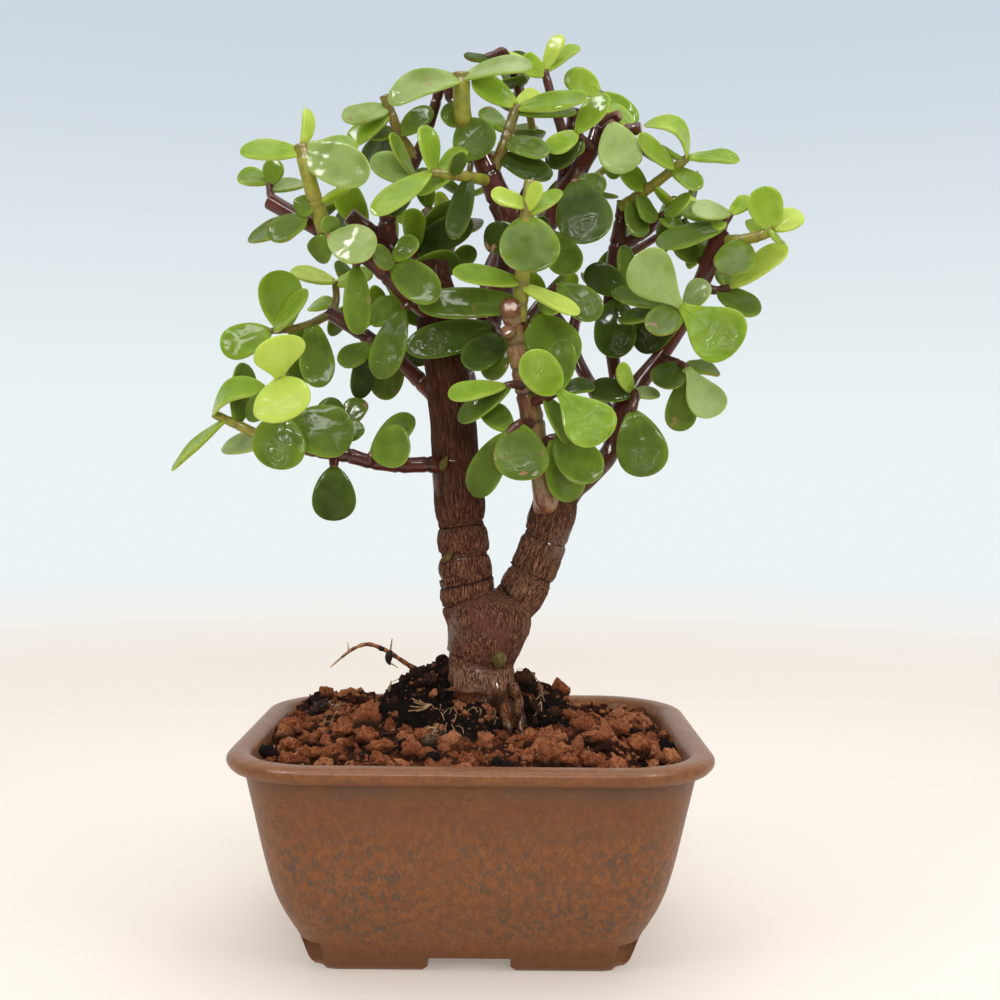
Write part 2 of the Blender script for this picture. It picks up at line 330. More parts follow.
# Small forms on the wood: its kind of bark, then its points
WOOD_DETAILS = [
    ("olive", [(21, 122, -4.6, 1.8), (20.9, 123.8, -5.8, 3.3), (20.4, 127, -6.3, 3.7),
        (19.6, 131, -7, 3.4), (18.6, 136, -8, 3.1)]),
    ("bud", [(7, 76.8, -9, 1.2), (7.3, 77.6, -9.9, 1.8), (7.5, 78.8, -10.3, 2), (7.6, 80, -10, 1.5),
        (7.7, 80.8, -9.5, 0.5)]),
    ("bud", [(-9.2, 106.6, -4.6, 0.4), (-8.5, 107.5, -5.6, 1), (-7.4, 108.6, -6.1, 0.8),
        (-6.4, 109.8, -6.2, 0.2)]),
    ("bud", [(-9.8, 133.4, -6.4, 0.6), (-9.4, 134.8, -7.2, 1.2), (-8.8, 136.2, -7.4, 1),
        (-8.2, 137.4, -7, 0.3)]),
    ("crimson", [(-7.6, 135.9, -6.6, 0.6), (-6, 135.9, -6.9, 0.8), (-4.4, 135.6, -6.7, 0.4)]),
    ("olive", [(10.4, 176, -13, 2.5), (10, 179.5, -14, 2.9), (9.6, 180.6, -17, 2.8)]),
    ("crimson", [(24.2, 126.5, 0, 3.4), (22, 129, -2, 3), (20.6, 131, -4, 2)]),
    ("crimson", [(12, 240, 21, 1.3), (10.6, 246, 15, 1.3), (7.4, 253.6, 9, 1.2), (4.6, 253, 8.4, 1.2),
        (2, 252.2, 8, 1.1)]),
]
WOOD_KINDS = {"bark": 0.0, "crimson": 0.5, "olive": 1.0, "bud": 1.5}
LIMB_KINDS = {0: "bark", 1: "bark", 2: "bark", 3: "olive", 4: "olive"}
# Each line has a number of its own, which sets its bark's grain apart. The flaring roots, the arching
# root with its hairs, and the clods are numbered from here.
FIRST_FLARE = 60
FIRST_ROOT = 80
CLOD_NUMBER = 90

# The dark soil's skirt round the trunk's foot: for each bearing, how high it lies on the bark, how far
# out it reaches and how much it bulges, in millimetres
SKIRT = [
    (0, 70, 24, 3), (20, 69.5, 33, 5), (40, 70, 38, 7), (60, 70, 36, 6), (90, 71, 30, 4),
    (140, 76, 36, 4), (165, 79.4, 40, 6), (187, 79, 39, 6), (200, 75, 34, 4.4), (215, 70.4, 28, 2.6),
    (235, 68.6, 25, 2.4), (255, 69.4, 24, 2.2), (270, 69, 23, 2), (288, 67, 21, 1.4),
    (304, 60, 18, 0.6), (335, 60.4, 17, 0.6), (350, 68, 21, 2), (360, 70, 24, 3),
]
SKIRT_FOOT = 55.4
SKIRT_INSIDE = 8.6
SKIRT_ROWS = 7
SKIRT_COLUMNS = 72
# How the bed's top is heaped: from this x and depth it rises to the left and back over this width and
# depth, by so much
BED_TOP = 55
HEAP_BELOW = 4
HEAP_START = (5, -25)
HEAP_WIDTH = 45
HEAP_DEPTH = 55
HEAP_RISE = 3.6
# What the recipe for rubble gets for each bed, as numbers of steps, and lengths in metres
CLAY_BED = {"Steps finer": 1, "Roughness": 0.002, "Small least": 0.0005, "Small most": 0.0015,
            "Lowest": 0.0515, "Seed": 4}
SOIL_BED = {"Steps finer": 2, "Roughness": 0.0026, "Big spacing": 0.0032, "Big least": 0.0009,
            "Big most": 0.0026, "Small spacing": 0.0013, "Small least": 0.00035, "Small most": 0.001,
            "Lowest": 0.054, "Seed": 9}
# Share of the clay grains, and of the soil crumbs, that have an odd colour
ODD_CLAY = 0.04
ODD_SOIL = 0.3
# Stones that lie in plain sight: x and z as seen, radius, and kind
STONES = [
    (-44.8, 63.9, 3.4, "grey"), (-61.5, 50.7, 2.8, "dark"), (-12.1, 49.6, 2, "dark"),
    (-20.4, 53.4, 1.7, "dark"), (-22, 52, 1.4, "dark"), (58.4, 53.4, 2, "dark"),
    (26.3, 59.4, 1.8, "dark"), (-12.7, 54.5, 2.2, "tan"), (-9.1, 56.1, 1.7, "grey"),
    (19.7, 68.6, 1.5, "tan"), (-51.1, 61.7, 0.9, "orange"), (-49.8, 46.5, 0.9, "seed"),
    (-58.6, 57.2, 1.2, "brown"), (-12.8, 72.4, 2.7, "brown"), (-12, 68.1, 1.7, "orange"),
    (14.8, 72.6, 3.2, "soil"), (-38.3, 57.2, 3.7, "clay"), (-52.5, 58, 3.8, "clay"),
    (-29.9, 61.6, 4, "clay"), (-31, 55.3, 3, "clay"), (-26.7, 52.6, 3, "clay"),
    (-47.5, 54.9, 3, "clay"), (-47.7, 50.3, 2.6, "clay"), (-53, 52.2, 3, "clay"),
    (-16.8, 51, 3.5, "clay"), (-27.8, 48, 3, "clay"), (-42.9, 68.3, 2.4, "clay"),
    (26.9, 69.8, 2.9, "clay"), (29.6, 67.2, 1.3, "orange"), (37.7, 58.8, 1.2, "orange"),
    (22.1, 50.4, 4.6, "clay"), (28.4, 48.7, 2.9, "clay"), (34.5, 49, 3, "clay"),
    (15.7, 55.4, 3.1, "clay"), (24.7, 55.7, 2.5, "orange"), (57.8, 49.7, 3.6, "orange"),
    (48.4, 53.5, 3.6, "clay"), (37.7, 55.9, 3.4, "clay"), (31.9, 59.2, 3.6, "clay"),
    (28, 62.6, 2.8, "clay"), (58.9, 57, 2.4, "clay"), (42.5, 58.3, 3, "clay"),
]
STONE_TONES = {
    "clay": 0.45, "orange": 0.9, "soil": 1.2, "dark": 1.5, "grey": 1.8, "tan": 2.1, "brown": 2.4,
    "seed": 2.7,
}
# Straws: the middle of each scatter as seen, how many, how far apart, how long, and how thick
STRAWS = [
    (-41.5, 64.6, 7, 2.2, 8, 0.16), (-11.6, 57.4, 4, 1.2, 5.5, 0.16), (-41, 60, 3, 2, 4.5, 0.1),
    (19.3, 64.6, 4, 1.4, 6, 0.16), (-28, 68.4, 4, 3, 6, 0.12), (2, 61, 10, 6, 3.5, 0.09),
    (-6, 62, 8, 4, 3.5, 0.09), (10, 59, 6, 4, 3.5, 0.09), (36, 57, 2, 5, 5, 0.1),
    (-53, 55, 2, 3, 5, 0.12),
]
STRAW_SEED = 21
# A pale tuft of root hairs: where it starts, then where each hair ends
TUFT_START = (-12.3, 65.2, -13)
TUFT_ENDS = [
    (-19, 63.2, -15), (-18.4, 64.6, -15), (-17.4, 65.9, -14), (-17.9, 66.9, -13), (-15.8, 66.5, -14),
    (-15.2, 64, -15), (-10.6, 64, -14), (-16.6, 63.2, -15),
]
HAIR_RADIUS = 0.13
# A height in millimetres from which straws are dropped onto the soil
HIGH_ABOVE = 95

# How near a ring, in millimetres, a limb's rows lie closer together, and how much closer
RING_REACH = 1.6
RING_SPLIT = 4
FAR_RING = 99.0
# How wide a ring is where leaves or side twigs grow, and in how many steps a line's length is taken
RING_WIDTH = 0.6
REACH_STEPS = 40
FEWEST_ROWS = 8
# Up to this radius, a limb's end shows a tan cut
WIDEST_CUT = 5
# A rounded end: how far on, how wide, and how near the middle of the cut, as shares of the last radius
ROUNDED_END = [(0.05, 0.95, 0.45), (0.09, 0.62, 0.75), (0.1, 0.02, 1)]
# How far apart the rows lie on each kind of line, in millimetres
STEM_STEP = 0.7
LIMB_STEP = 0.6
TWIG_STEP = 0.65
FINE_STEP = 0.4
CLOD_STEP = 0.25
# The most that a leaf bends at its tip, twists and waves, in millimetres
LEAF_CURL = 1.0
LEAF_TWIST = 0.5
LEAF_WAVE = 0.45
LEAF_SEED = 53

# How leaves find a clear place, as the solids' source has it
LEAF_CUP = 0.08
LIFT_LEAN = 0.25
NEARLY_PARALLEL = 0.3
RULE_SEED = 20417
RULE_LEAF = {
    "shortest": 12, "longest": 16.5, "slimness": 0.64, "least_lean": 0.75, "lean_range": 0.65,
    "swing": 1.2, "arch": -0.6,
}
FIRST_PAIR = 0.2
CLEAR_OF_LEAVES = 2.7
CLEAR_OF_WOOD = 1.2
DEPTH_TRIES = [0, -3, 3, -6, 6, -9, 9, -12, 12]
RULE_TRIES = 7
PROBE_LENGTHS = [0.35, 0.6, 0.85]
PROBE_SIDES = [-0.32, 0, 0.32]
WOOD_PROBES = 4

# Pot: its outline is set in from the rim's widest line, as height and inset from the foot up
RIM_CORNER_RADIUS = 25
CORNER_TIGHTENING = 0.76
OUTER_WALL = [
    (0, 22.4), (1.8, 20.9), (8, 18.6), (12, 16.3), (16, 14.1), (21, 12), (28, 10), (36, 8.2), (44, 6.5),
    (53.6, 4.4),
]
LIP = [(54.6, 1.2), (56, 0.1), (57.4, 0), (58.5, 0.9), (59, 2.8), (58.7, 5.2), (57.4, 6.6)]
INNER_WALL = [(52, 8.8), (42, 11.6), (26, 15.6), (12, 21.6), (6.5, 27)]
RIM_CORNER_STEPS = 14
# What is cut out of the pot from below: the recess under its middle, the gaps between its feet, the
# drain holes on each side, and the notches at the feet's corners
BELOW_FOOT = -1
SHARP_CORNER = 0.02
RECESS_WIDTH = 58
RECESS_DEPTH = 38
RECESS_HEIGHT = 3.5
FRONT_GAP_LENGTH = 120
SIDE_GAP_LENGTH = 140
SIDE_GAP_WIDTH = 14
GAP_FLARE = 1.6
THROUGH_FLOOR = (-2, 8)
DRAIN_X = 20
NOTCH_RADIUS = 4.2
NOTCH_X = 42.5
NOTCH_Y = 31.5
SHARPEST = math.radians(38)

# Lights: name, place from the pot's foot, width and height, power, and what shows it
LIGHTS = [
    ("top", (0.05, -0.1, 0.95), 0.9, 0.7, 4.6, "all"),
    ("left", (-0.85, -0.55, 0.5), 0.5, 0.7, 3.6, "diffuse"),
    ("right", (0.9, -0.5, 0.45), 0.5, 0.7, 4.2, "diffuse"),
    ("front", (0.1, -1.15, 0.6), 0.7, 0.4, 4.8, "diffuse"),
    ("window_left", (-0.5, -0.35, 0.75), 0.14, 0.2, 5.0, "gloss"),
    ("window_right", (0.45, -0.45, 0.7), 0.12, 0.18, 4.2, "gloss"),
    ("window_front", (-0.1, -0.9, 0.75), 0.6, 0.2, 6.5, "gloss"),
]
# The height that the lamps point at, and the floor's, just under the feet, in metres
LAMPS_AIM = 0.13
FLOOR_HEIGHT = -0.0001


def seen(x, z, depth):
    """The place of a point that is written as it looks from the front."""
    spread = 1 - depth / EYE[1]
    return np.array([EYE[0] + (x - EYE[0]) * spread, depth, EYE[2] + (z - EYE[2]) * spread])


def unit(vector):
    return vector / np.linalg.norm(vector)


class Route:
    """A smooth line through points, with any values that go with them."""

    def __init__(self, points):
        self.points = [np.array(point, float) for point in points]

    def at(self, share):
        last = len(self.points) - 1
        place = share * last
        start = min(int(math.floor(place)), last - 1)
        weight = place - start
        here = self.points[start]
        there = self.points[start + 1]
        before = self.points[start - 1] if start > 0 else 2 * here - there
        after = self.points[start + 2] if start + 2 <= last else 2 * there - here
        leave = (there - before) / 2
        arrive = (after - here) / 2
        square = -3 * here + 3 * there - 2 * leave - arrive
        cube = 2 * here - 2 * there + leave + arrive
        return here + leave * weight + square * weight ** 2 + cube * weight ** 3

    def direction(self, share):
        low = max(share - 0.0001, 0)
        high = min(share + 0.0001, 1)
        return unit(self.at(high) - self.at(low))


def route_of(path):
    return Route([seen(x, z, depth) for x, z, depth, *_ in path])


def seeded_random(seed):
    """The same repeatable stream of numbers from 0 to 1 that places the solids' leaves."""
    state = seed
    mask = 0xFFFFFFFF
    while True:
        state = (state + 0x6D2B79F5) & mask
        mixed = ((state ^ (state >> 15)) * (1 | state)) & mask
        mixed = ((mixed + (((mixed ^ (mixed >> 7)) * (61 | mixed)) & mask)) & mask) ^ mixed
        yield ((mixed ^ (mixed >> 14)) & mask) / 4294967296


def leaf_place(base, tip, width, turn=0, rise=0, face=None):
    """Where a leaf lies: its base, its axis, and the directions across and out of it."""
    axis = tip - base
    length = np.linalg.norm(axis)
    axis = axis / length
    front = face
    if front is None:
        to_eye = unit(EYE - base)
        front = unit(to_eye - axis * to_eye.dot(axis))
        lift = np.cross(axis, front)
        if lift[0] * LIFT_LEAN + lift[2] < 0:
            lift = -lift
        angle = math.radians(turn)
        front = front * math.cos(angle) + lift * math.sin(angle)
    return {"base": base, "axis": axis, "length": length, "width": width, "rise": rise, "front": front,
            "across": np.cross(front, axis)}


def on_leaf(place, along, side):
    cup = LEAF_CUP * place["width"] * (2 * side / place["width"]) ** 2
    lift = cup + place["rise"] * 4 * along * (1 - along)
    return (place["base"] + place["axis"] * along * place["length"] + place["across"] * side
            + place["front"] * lift)


def probes(place):
    width = place["width"]
    return [on_leaf(place, along, side * width) for along in PROBE_LENGTHS for side in PROBE_SIDES]


class ClearPlaces:
    """Finds each leaf a place that is clear of the wood and of the leaves before it."""

    def __init__(self):
        self.leaves = np.zeros((0, 3))
        wood = []
        for path in LIMBS:
            route = route_of(path)
            steps = WOOD_PROBES * (len(path) - 1)
            for step in range(steps + 1):
                start = min(step // WOOD_PROBES, len(path) - 2)
                share = step / WOOD_PROBES - start
                radius = path[start][3] * (1 - share) + path[start + 1][3] * share
                wood.append([*route.at(step / steps), radius])
        self.wood = np.array(wood)

    def room(self, points):
        least = math.inf
        for point in points:
            if len(self.leaves):
                gaps = np.linalg.norm(self.leaves - point, axis=1) - CLEAR_OF_LEAVES
                least = min(least, gaps.min())
            gaps = np.linalg.norm(self.wood[:, :3] - point, axis=1) - self.wood[:, 3] - CLEAR_OF_WOOD
            least = min(least, gaps.min())
        return least

    def settle(self, places):
        best = None
        most = -math.inf
        for place in places:
            room = self.room(probes(place))
            if best is None or room > most:
                best = place
                most = room
            if room > 0:
                break
        self.leaves = np.vstack([self.leaves, probes(best)])
        return best


def depths_for(base, leaf):
    _, x, z, depth, width, turn, *arch = leaf
    rise = arch[0] if arch else 0
    for shift in DEPTH_TRIES:
        yield leaf_place(base, seen(x, z, depth + shift), width, turn, rise)


def leaning_from(base, along, quarter, random):
    """Tries for one leaf of a crosswise pair: it leans from the stem and faces the stem's end."""
    for _ in range(RULE_TRIES):
        around = quarter + (next(random) - 0.5) * RULE_LEAF["swing"]
        lean = RULE_LEAF["least_lean"] + next(random) * RULE_LEAF["lean_range"]
        length = RULE_LEAF["shortest"] + next(random) * (RULE_LEAF["longest"] - RULE_LEAF["shortest"])
        first = np.cross([0, 0, 1], along)
        if np.linalg.norm(first) < NEARLY_PARALLEL:
            first = np.array([1.0, 0, 0])
        first = unit(first)
        second = np.cross(along, first)
        outward = first * math.cos(around) + second * math.sin(around)
        axis = along * math.cos(lean) + outward * math.sin(lean)
        face = along * math.sin(lean) - outward * math.cos(lean)
        yield leaf_place(base, base + axis * length, length * RULE_LEAF["slimness"],
                         rise=RULE_LEAF["arch"], face=face)


def place_leaves():
    """For each shoot, its leaves as (place, share of the stem, age letter)."""
    random = seeded_random(RULE_SEED)
    clear = ClearPlaces()
    shoots = []
    for path, _, ages, leaves, pairs in SHOOTS:
        route = route_of(path)
        placed = [(clear.settle(depths_for(route.at(leaf[0]), leaf)), leaf[0], age)
                  for leaf, age in zip(leaves, ages)]
        for pair in range(pairs):
            share = FIRST_PAIR + (1 - FIRST_PAIR) * pair / (pairs - 1)
            for half in (0, 1):
                quarter = pair * math.pi / 2 + half * math.pi
                tries = leaning_from(route.at(share), route.direction(share), quarter, random)
                age = RULE_AGES[(2 * pair + half) % len(RULE_AGES)]
                placed.append((clear.settle(tries), share, age))
        shoots.append(placed)
    return shoots


class Value:
    """A node's output that sums, differences, products and quotients are made with."""

    def __init__(self, graph, socket):
        self.graph = graph
        self.socket = socket

    def __add__(self, other):
        return self.graph.math("ADD", self, other)

    def __radd__(self, other):
        return self.graph.math("ADD", other, self)

    def __sub__(self, other):
        return self.graph.math("SUBTRACT", self, other)

    def __rsub__(self, other):
        return self.graph.math("SUBTRACT", other, self)

    def __mul__(self, other):
        return self.graph.math("MULTIPLY", self, other)

    def __rmul__(self, other):
        return self.graph.math("MULTIPLY", other, self)

    def __truediv__(self, other):
        return self.graph.math("DIVIDE", self, other)


class Graph:
    """Adds and joins the nodes of one material's or one geometry tree."""

    def __init__(self, tree):
        self.tree = tree

    def feed(self, socket, value):
        """Joins a node's output to the socket, or sets the socket to a plain value."""
        if isinstance(value, Value):
            value = value.socket
        if isinstance(value, bpy.types.NodeSocket):
            self.tree.links.new(value, socket)
        else:
            socket.default_value = value

    def node(self, kind, inputs=(), **settings):
        node = self.tree.nodes.new(kind)
        for name, value in settings.items():
            setattr(node, name, value)
        pairs = inputs.items() if isinstance(inputs, dict) else enumerate(inputs)
        for key, value in pairs:
            self.feed(node.inputs[key], value)
        return node

    def value(self, kind, inputs=(), output=0, **settings):
        """A new node's output, ready for sums and products."""
        return Value(self, self.node(kind, inputs, **settings).outputs[output])

    def math(self, operation, *values):
        return self.value("ShaderNodeMath", values, operation=operation)

    def vector(self, operation, *values):
        return self.node("ShaderNodeVectorMath", values, operation=operation).outputs[0]

    def length(self, vector):
        return self.value("ShaderNodeVectorMath", [vector], "Value", operation="LENGTH")

    def scaled(self, vector, factor):
        return self.node("ShaderNodeVectorMath", {0: vector, 3: factor}, operation="SCALE").outputs[0]

    def split(self, vector):
        return [Value(self, part) for part in self.node("ShaderNodeSeparateXYZ", [vector]).outputs]

    def joined(self, x, y, z):
        return self.node("ShaderNodeCombineXYZ", [x, y, z]).outputs[0]

    def band(self, value, low, high, least=0.0, most=1.0):
        """A soft step of the value, from low to high."""
        return self.value("ShaderNodeMapRange", [value, low, high, least, most],
                          interpolation_type="SMOOTHSTEP")

    def noise(self, vector, scale, detail=3.0, roughness=0.55, distortion=0.0):
        return self.value("ShaderNodeTexNoise", {
            "Vector": vector, "Scale": scale, "Detail": detail, "Roughness": roughness,
            "Distortion": distortion})

    def streaks(self, vector, stretch, *settings):
        """Noise that is drawn out where a part of the stretch is small."""
        return self.noise(self.vector("MULTIPLY", vector, stretch), *settings)

    def cells(self, vector, scale):
        """How far a place is from the middle of the cell that it is in."""
        return self.value("ShaderNodeTexVoronoi", {"Vector": vector, "Scale": scale}, "Distance")

    def ramp(self, factor, *stops):
        node = self.node("ShaderNodeValToRGB", [factor])
        ramp = node.color_ramp
        while len(ramp.elements) < len(stops):
            ramp.elements.new(0.5)
        for element, (position, colour) in zip(ramp.elements, stops):
            element.position = position
            element.color = (*colour[:3], 1)
        return node.outputs[0]

    def blend(self, factor, first, second):
        node = self.node("ShaderNodeMix", {0: factor}, data_type="RGBA")
        for socket, value in ((node.inputs[6], first), (node.inputs[7], second)):
            self.feed(socket, value if isinstance(value, bpy.types.NodeSocket) else (*value[:3], 1))
        return node.outputs[2]

    def between(self, factor, first, second):
        """A number that goes from the first to the second as the factor rises."""
        return self.value("ShaderNodeMix", {0: factor, 2: first, 3: second}, data_type="FLOAT")

    def bump(self, height, depth, under=None):
        inputs = {"Height": height, "Distance": depth}
        if under is not None:
            inputs["Normal"] = under
        return self.node("ShaderNodeBump", inputs).outputs[0]


class Finish(Graph):
    """A material under construction, with its main shader."""

    def __init__(self, name):
        self.material = bpy.data.materials.new(name)
        self.material.use_nodes = True
        super().__init__(self.material.node_tree)
        self.shader = next(n for n in self.tree.nodes if n.type == "BSDF_PRINCIPLED")
        self.place = self.node("ShaderNodeTexCoord").outputs["Object"]
        self.colour = None
        self.normal = None

    def tint(self, amount, colour):
        """Lays a colour over what is there already, as strongly as the amount says."""
        self.colour = self.blend(amount, self.colour, colour)

    def emboss(self, height, depth):
        """Adds a relief to what is there already."""
        self.normal = self.bump(height, depth, self.normal)

    def made(self, **values):
        """The material, with its colour, its relief, and these values of its shader."""
        values["Base_Color"] = self.colour
        if self.normal is not None:
            values["Normal"] = self.normal
        for name, value in values.items():
            self.feed(self.shader.inputs[name.replace("_", " ")], value)
        return self.material

    def read(self, name):
        """A number of the mesh's own."""
        return self.value("ShaderNodeAttribute", output="Fac", attribute_name=name)

    def read_vector(self, name):
        return self.node("ShaderNodeAttribute", attribute_name=name).outputs["Vector"]


class GeometryRecipe(Graph):
    """A geometry tree under construction, with its named inputs."""

    def __init__(self, name, inputs):
        tree = bpy.data.node_groups.new(name, "GeometryNodeTree")
        super().__init__(tree)
        tree.interface.new_socket(name="Geometry", in_out="INPUT", socket_type="NodeSocketGeometry")
        for label, kind in inputs.items():
            tree.interface.new_socket(name=label, in_out="INPUT", socket_type="NodeSocket" + kind)
        tree.interface.new_socket(name="Geometry", in_out="OUTPUT", socket_type="NodeSocketGeometry")
        outputs = tree.nodes.new("NodeGroupInput").outputs
        self.given = {label: Value(self, outputs[label]) for label in ("Geometry", *inputs)}
        self.result = tree.nodes.new("NodeGroupOutput").inputs[0]

    def step(self, kind, inputs=(), **settings):
        """A new geometry node's first output."""
        return self.node("GeometryNode" + kind, inputs, **settings).outputs[0]

    def named(self, name, kind="FLOAT"):
        """A value that the mesh carries under this name."""
        return Value(self, self.step("InputNamedAttribute", {"Name": name}, data_type=kind))

    def store(self, geometry, name, value, kind="FLOAT"):
        return self.step("StoreNamedAttribute", {"Geometry": geometry, "Name": name, "Value": value},
                         data_type=kind, domain="POINT")

    def draw(self, low, high, seed, kind="FLOAT"):
        """A seeded random value for each point."""
        node = self.node("FunctionNodeRandomValue", data_type=kind)
        first, output = (0, 0) if kind == VECTOR else (2, 1)
        for socket, value in zip((first, first + 1, "Seed"), (low, high, seed)):
            self.feed(node.inputs[socket], value)
        return Value(self, node.outputs[output])

    def geometry_of(self, shown):
        return self.node("GeometryNodeObjectInfo", [shown]).outputs["Geometry"]

    def shifted(self, geometry, offset):
        return self.step("SetPosition", {"Geometry": geometry, "Offset": offset})

    def dressed(self, geometry, finish, smooth=True):
        """The geometry with its finish and its shading."""
        geometry = self.step("SetMaterial", {"Geometry": geometry, "Material": finish})
        return self.step("SetShadeSmooth", {"Geometry": geometry, "Shade Smooth": smooth})

    def swept(self, line, sides):
        """A round section swept along the line, as thick as its radius_here says. The section's own
        places are kept as around."""
        curve = self.step("MeshToCurve", [line])
        circle = self.step("CurvePrimitiveCircle", {"Resolution": sides, "Radius": 1.0})
        profile = self.store(circle, "around", self.step("InputPosition"), VECTOR)
        return self.step("CurveToMesh", {
            "Curve": curve, "Profile Curve": profile, "Scale": self.named("radius_here"),
            "Fill Caps": True})

    def together(self, *parts):
        node = self.node("GeometryNodeJoinGeometry")
        for part in parts:
            self.feed(node.inputs[0], part)
        return node.outputs[0]

    def finish(self, geometry):
        self.feed(self.result, geometry)
        return self.tree


def in_metres(point):
    """A point in the scene's frame, from millimetres off the pot's foot."""
    return POT_MIDDLE + np.array(point) * MM


def in_mm(place):
    return (np.array(place) - POT_MIDDLE) / MM


def mesh_of(name, points, edges=(), faces=(), values=()):
    """A mesh in metres, with the values that a recipe reads from its points."""
    mesh = bpy.data.meshes.new(name)
    mesh.from_pydata(points, edges, faces)
    for label, kind, numbers in values:
        layer = mesh.attributes.new(label, kind, "POINT")
        field = "vector" if kind == VECTOR else "value"
        layer.data.foreach_set(field, np.array(numbers, bool if kind == "BOOLEAN" else float).ravel())
    return mesh


def lines_mesh(name, points, edges, values):
    return mesh_of(name, [tuple(in_metres(point)) for point in points], edges, values=values)


def linked_object(name, data):
    shown = bpy.data.objects.new(name, data)
    bpy.context.scene.collection.objects.link(shown)
    return shown


def worked_out(name, shown, **settings):
    """The mesh of an object with its modifiers worked in. The object goes."""
    depsgraph = bpy.context.evaluated_depsgraph_get()
    mesh = bpy.data.meshes.new_from_object(
        shown.evaluated_get(depsgraph), depsgraph=depsgraph, **settings)
    bpy.data.objects.remove(shown)
    mesh.name = name
    return mesh


def grown(name, mesh, recipe, inputs):
    """The mesh that a recipe makes from a starting mesh."""
    starter = linked_object(name + "_starter", mesh)
    modifier = starter.modifiers.new("recipe", "NODES")
    modifier.node_group = recipe
    for item in recipe.interface.items_tree:
        if item.in_out == "INPUT" and item.name in inputs:
            modifier[item.identifier] = inputs[item.name]
    result = worked_out(name, starter, preserve_all_data_layers=True)
    if not result.polygons:
        raise RuntimeError(f"{name} came out with no faces")
    return result


def piece(name, mesh, slot, *nodes):
    """A finished piece that rides on the one body and stands for the named solids."""
    shown = linked_object(name, mesh)
    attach(shown, "root")
    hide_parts(*nodes)


def merged_copy(node):
    """A copy of a solid's mesh with its loose triangles joined."""
    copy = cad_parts[node].data.copy()
    copy.materials.clear()
    work = bmesh.new()
    work.from_mesh(copy)
    bmesh.ops.remove_doubles(work, verts=work.verts, dist=0.00002)
    work.to_mesh(copy)
    work.free()
    return copy


def joined_mesh(name, meshes):
    """Several meshes as one, each with its own materials."""
    parts = [linked_object(name + "_part", mesh) for mesh in meshes]
    bpy.ops.object.select_all(action="DESELECT")
    for part in parts:
        part.select_set(True)
    bpy.context.view_layer.objects.active = parts[0]
    bpy.ops.object.join()
    mesh = parts[0].data
    bpy.data.objects.remove(parts[0])
    mesh.name = name
    return mesh


def wedge_half(along):
    """Half the width of a leaf that widens from a wedge-shaped base, as a share of its full width."""
    widest = 0.7
    if along < widest:
        return 0.5 * (0.16 + 0.84 * math.sin(math.pi / 2 * along / widest) ** 1.85)
    return 0.5 * (1 - ((along - widest) / (1 - widest)) ** 2.4) ** 0.5


def oval_half(along):
    """Half the width of a leaf that is full from near its base."""
    widest = 0.57
    if along < widest:
        return 0.5 * (1 - 0.9 * abs((along - widest) / widest) ** 2.1) ** 0.62
    return 0.5 * (1 - ((along - widest) / (1 - widest)) ** 2.3) ** 0.5


def leaf_blank(rows, around):
    """A unit leaf: x is a share of its width, y of its length, z of half its thickness. Its leaf_spot
    holds how far a point is towards the side, along the leaf, and out of its face, from -1 to 1, and
    leaf_fuller how much wider the oval outline is there than the wedge."""
    roundness = 2 / 3
    bunching = 1.6
    points, spots, fuller, faces = [], [], [], []
    for row in range(rows):
        along = 1 - (1 - row / rows) ** bunching
        wedge = wedge_half(along)
        thick = (0.62 + 0.38 * min(along / 0.3, 1)) * (1 - 0.35 * max(along - 0.6, 0) / 0.4)
        thick *= (1 - along ** 14) ** 0.5
        for step in range(around):
            angle = 2 * math.pi * step / around
            side = math.copysign(abs(math.cos(angle)) ** roundness, math.cos(angle))
            out = math.copysign(abs(math.sin(angle)) ** roundness, math.sin(angle))
            points.append((side * wedge, along, out * thick))
            spots.append((side, along, out))
            fuller.append(oval_half(along) / wedge)
    base = len(points)
    tip = base + 1
    points += [(0, 0, 0), (0, 1, 0)]
    spots += [(0, 0, 0), (0, 1, 0)]
    fuller += [1, 1]
    for row in range(rows - 1):
        for step in range(around):
            here = row * around + step
            after = row * around + (step + 1) % around
            faces.append((here, here + around, after + around, after))
    last = (rows - 1) * around
    for step in range(around):
        after = (step + 1) % around
        faces.append((base, step, after))
        faces.append((tip, last + after, last + step))
    values = [("leaf_spot", VECTOR, spots), ("leaf_fuller", "FLOAT", fuller)]
    return bpy.data.objects.new("leaf_blank", mesh_of("leaf_blank", points, faces=faces, values=values))


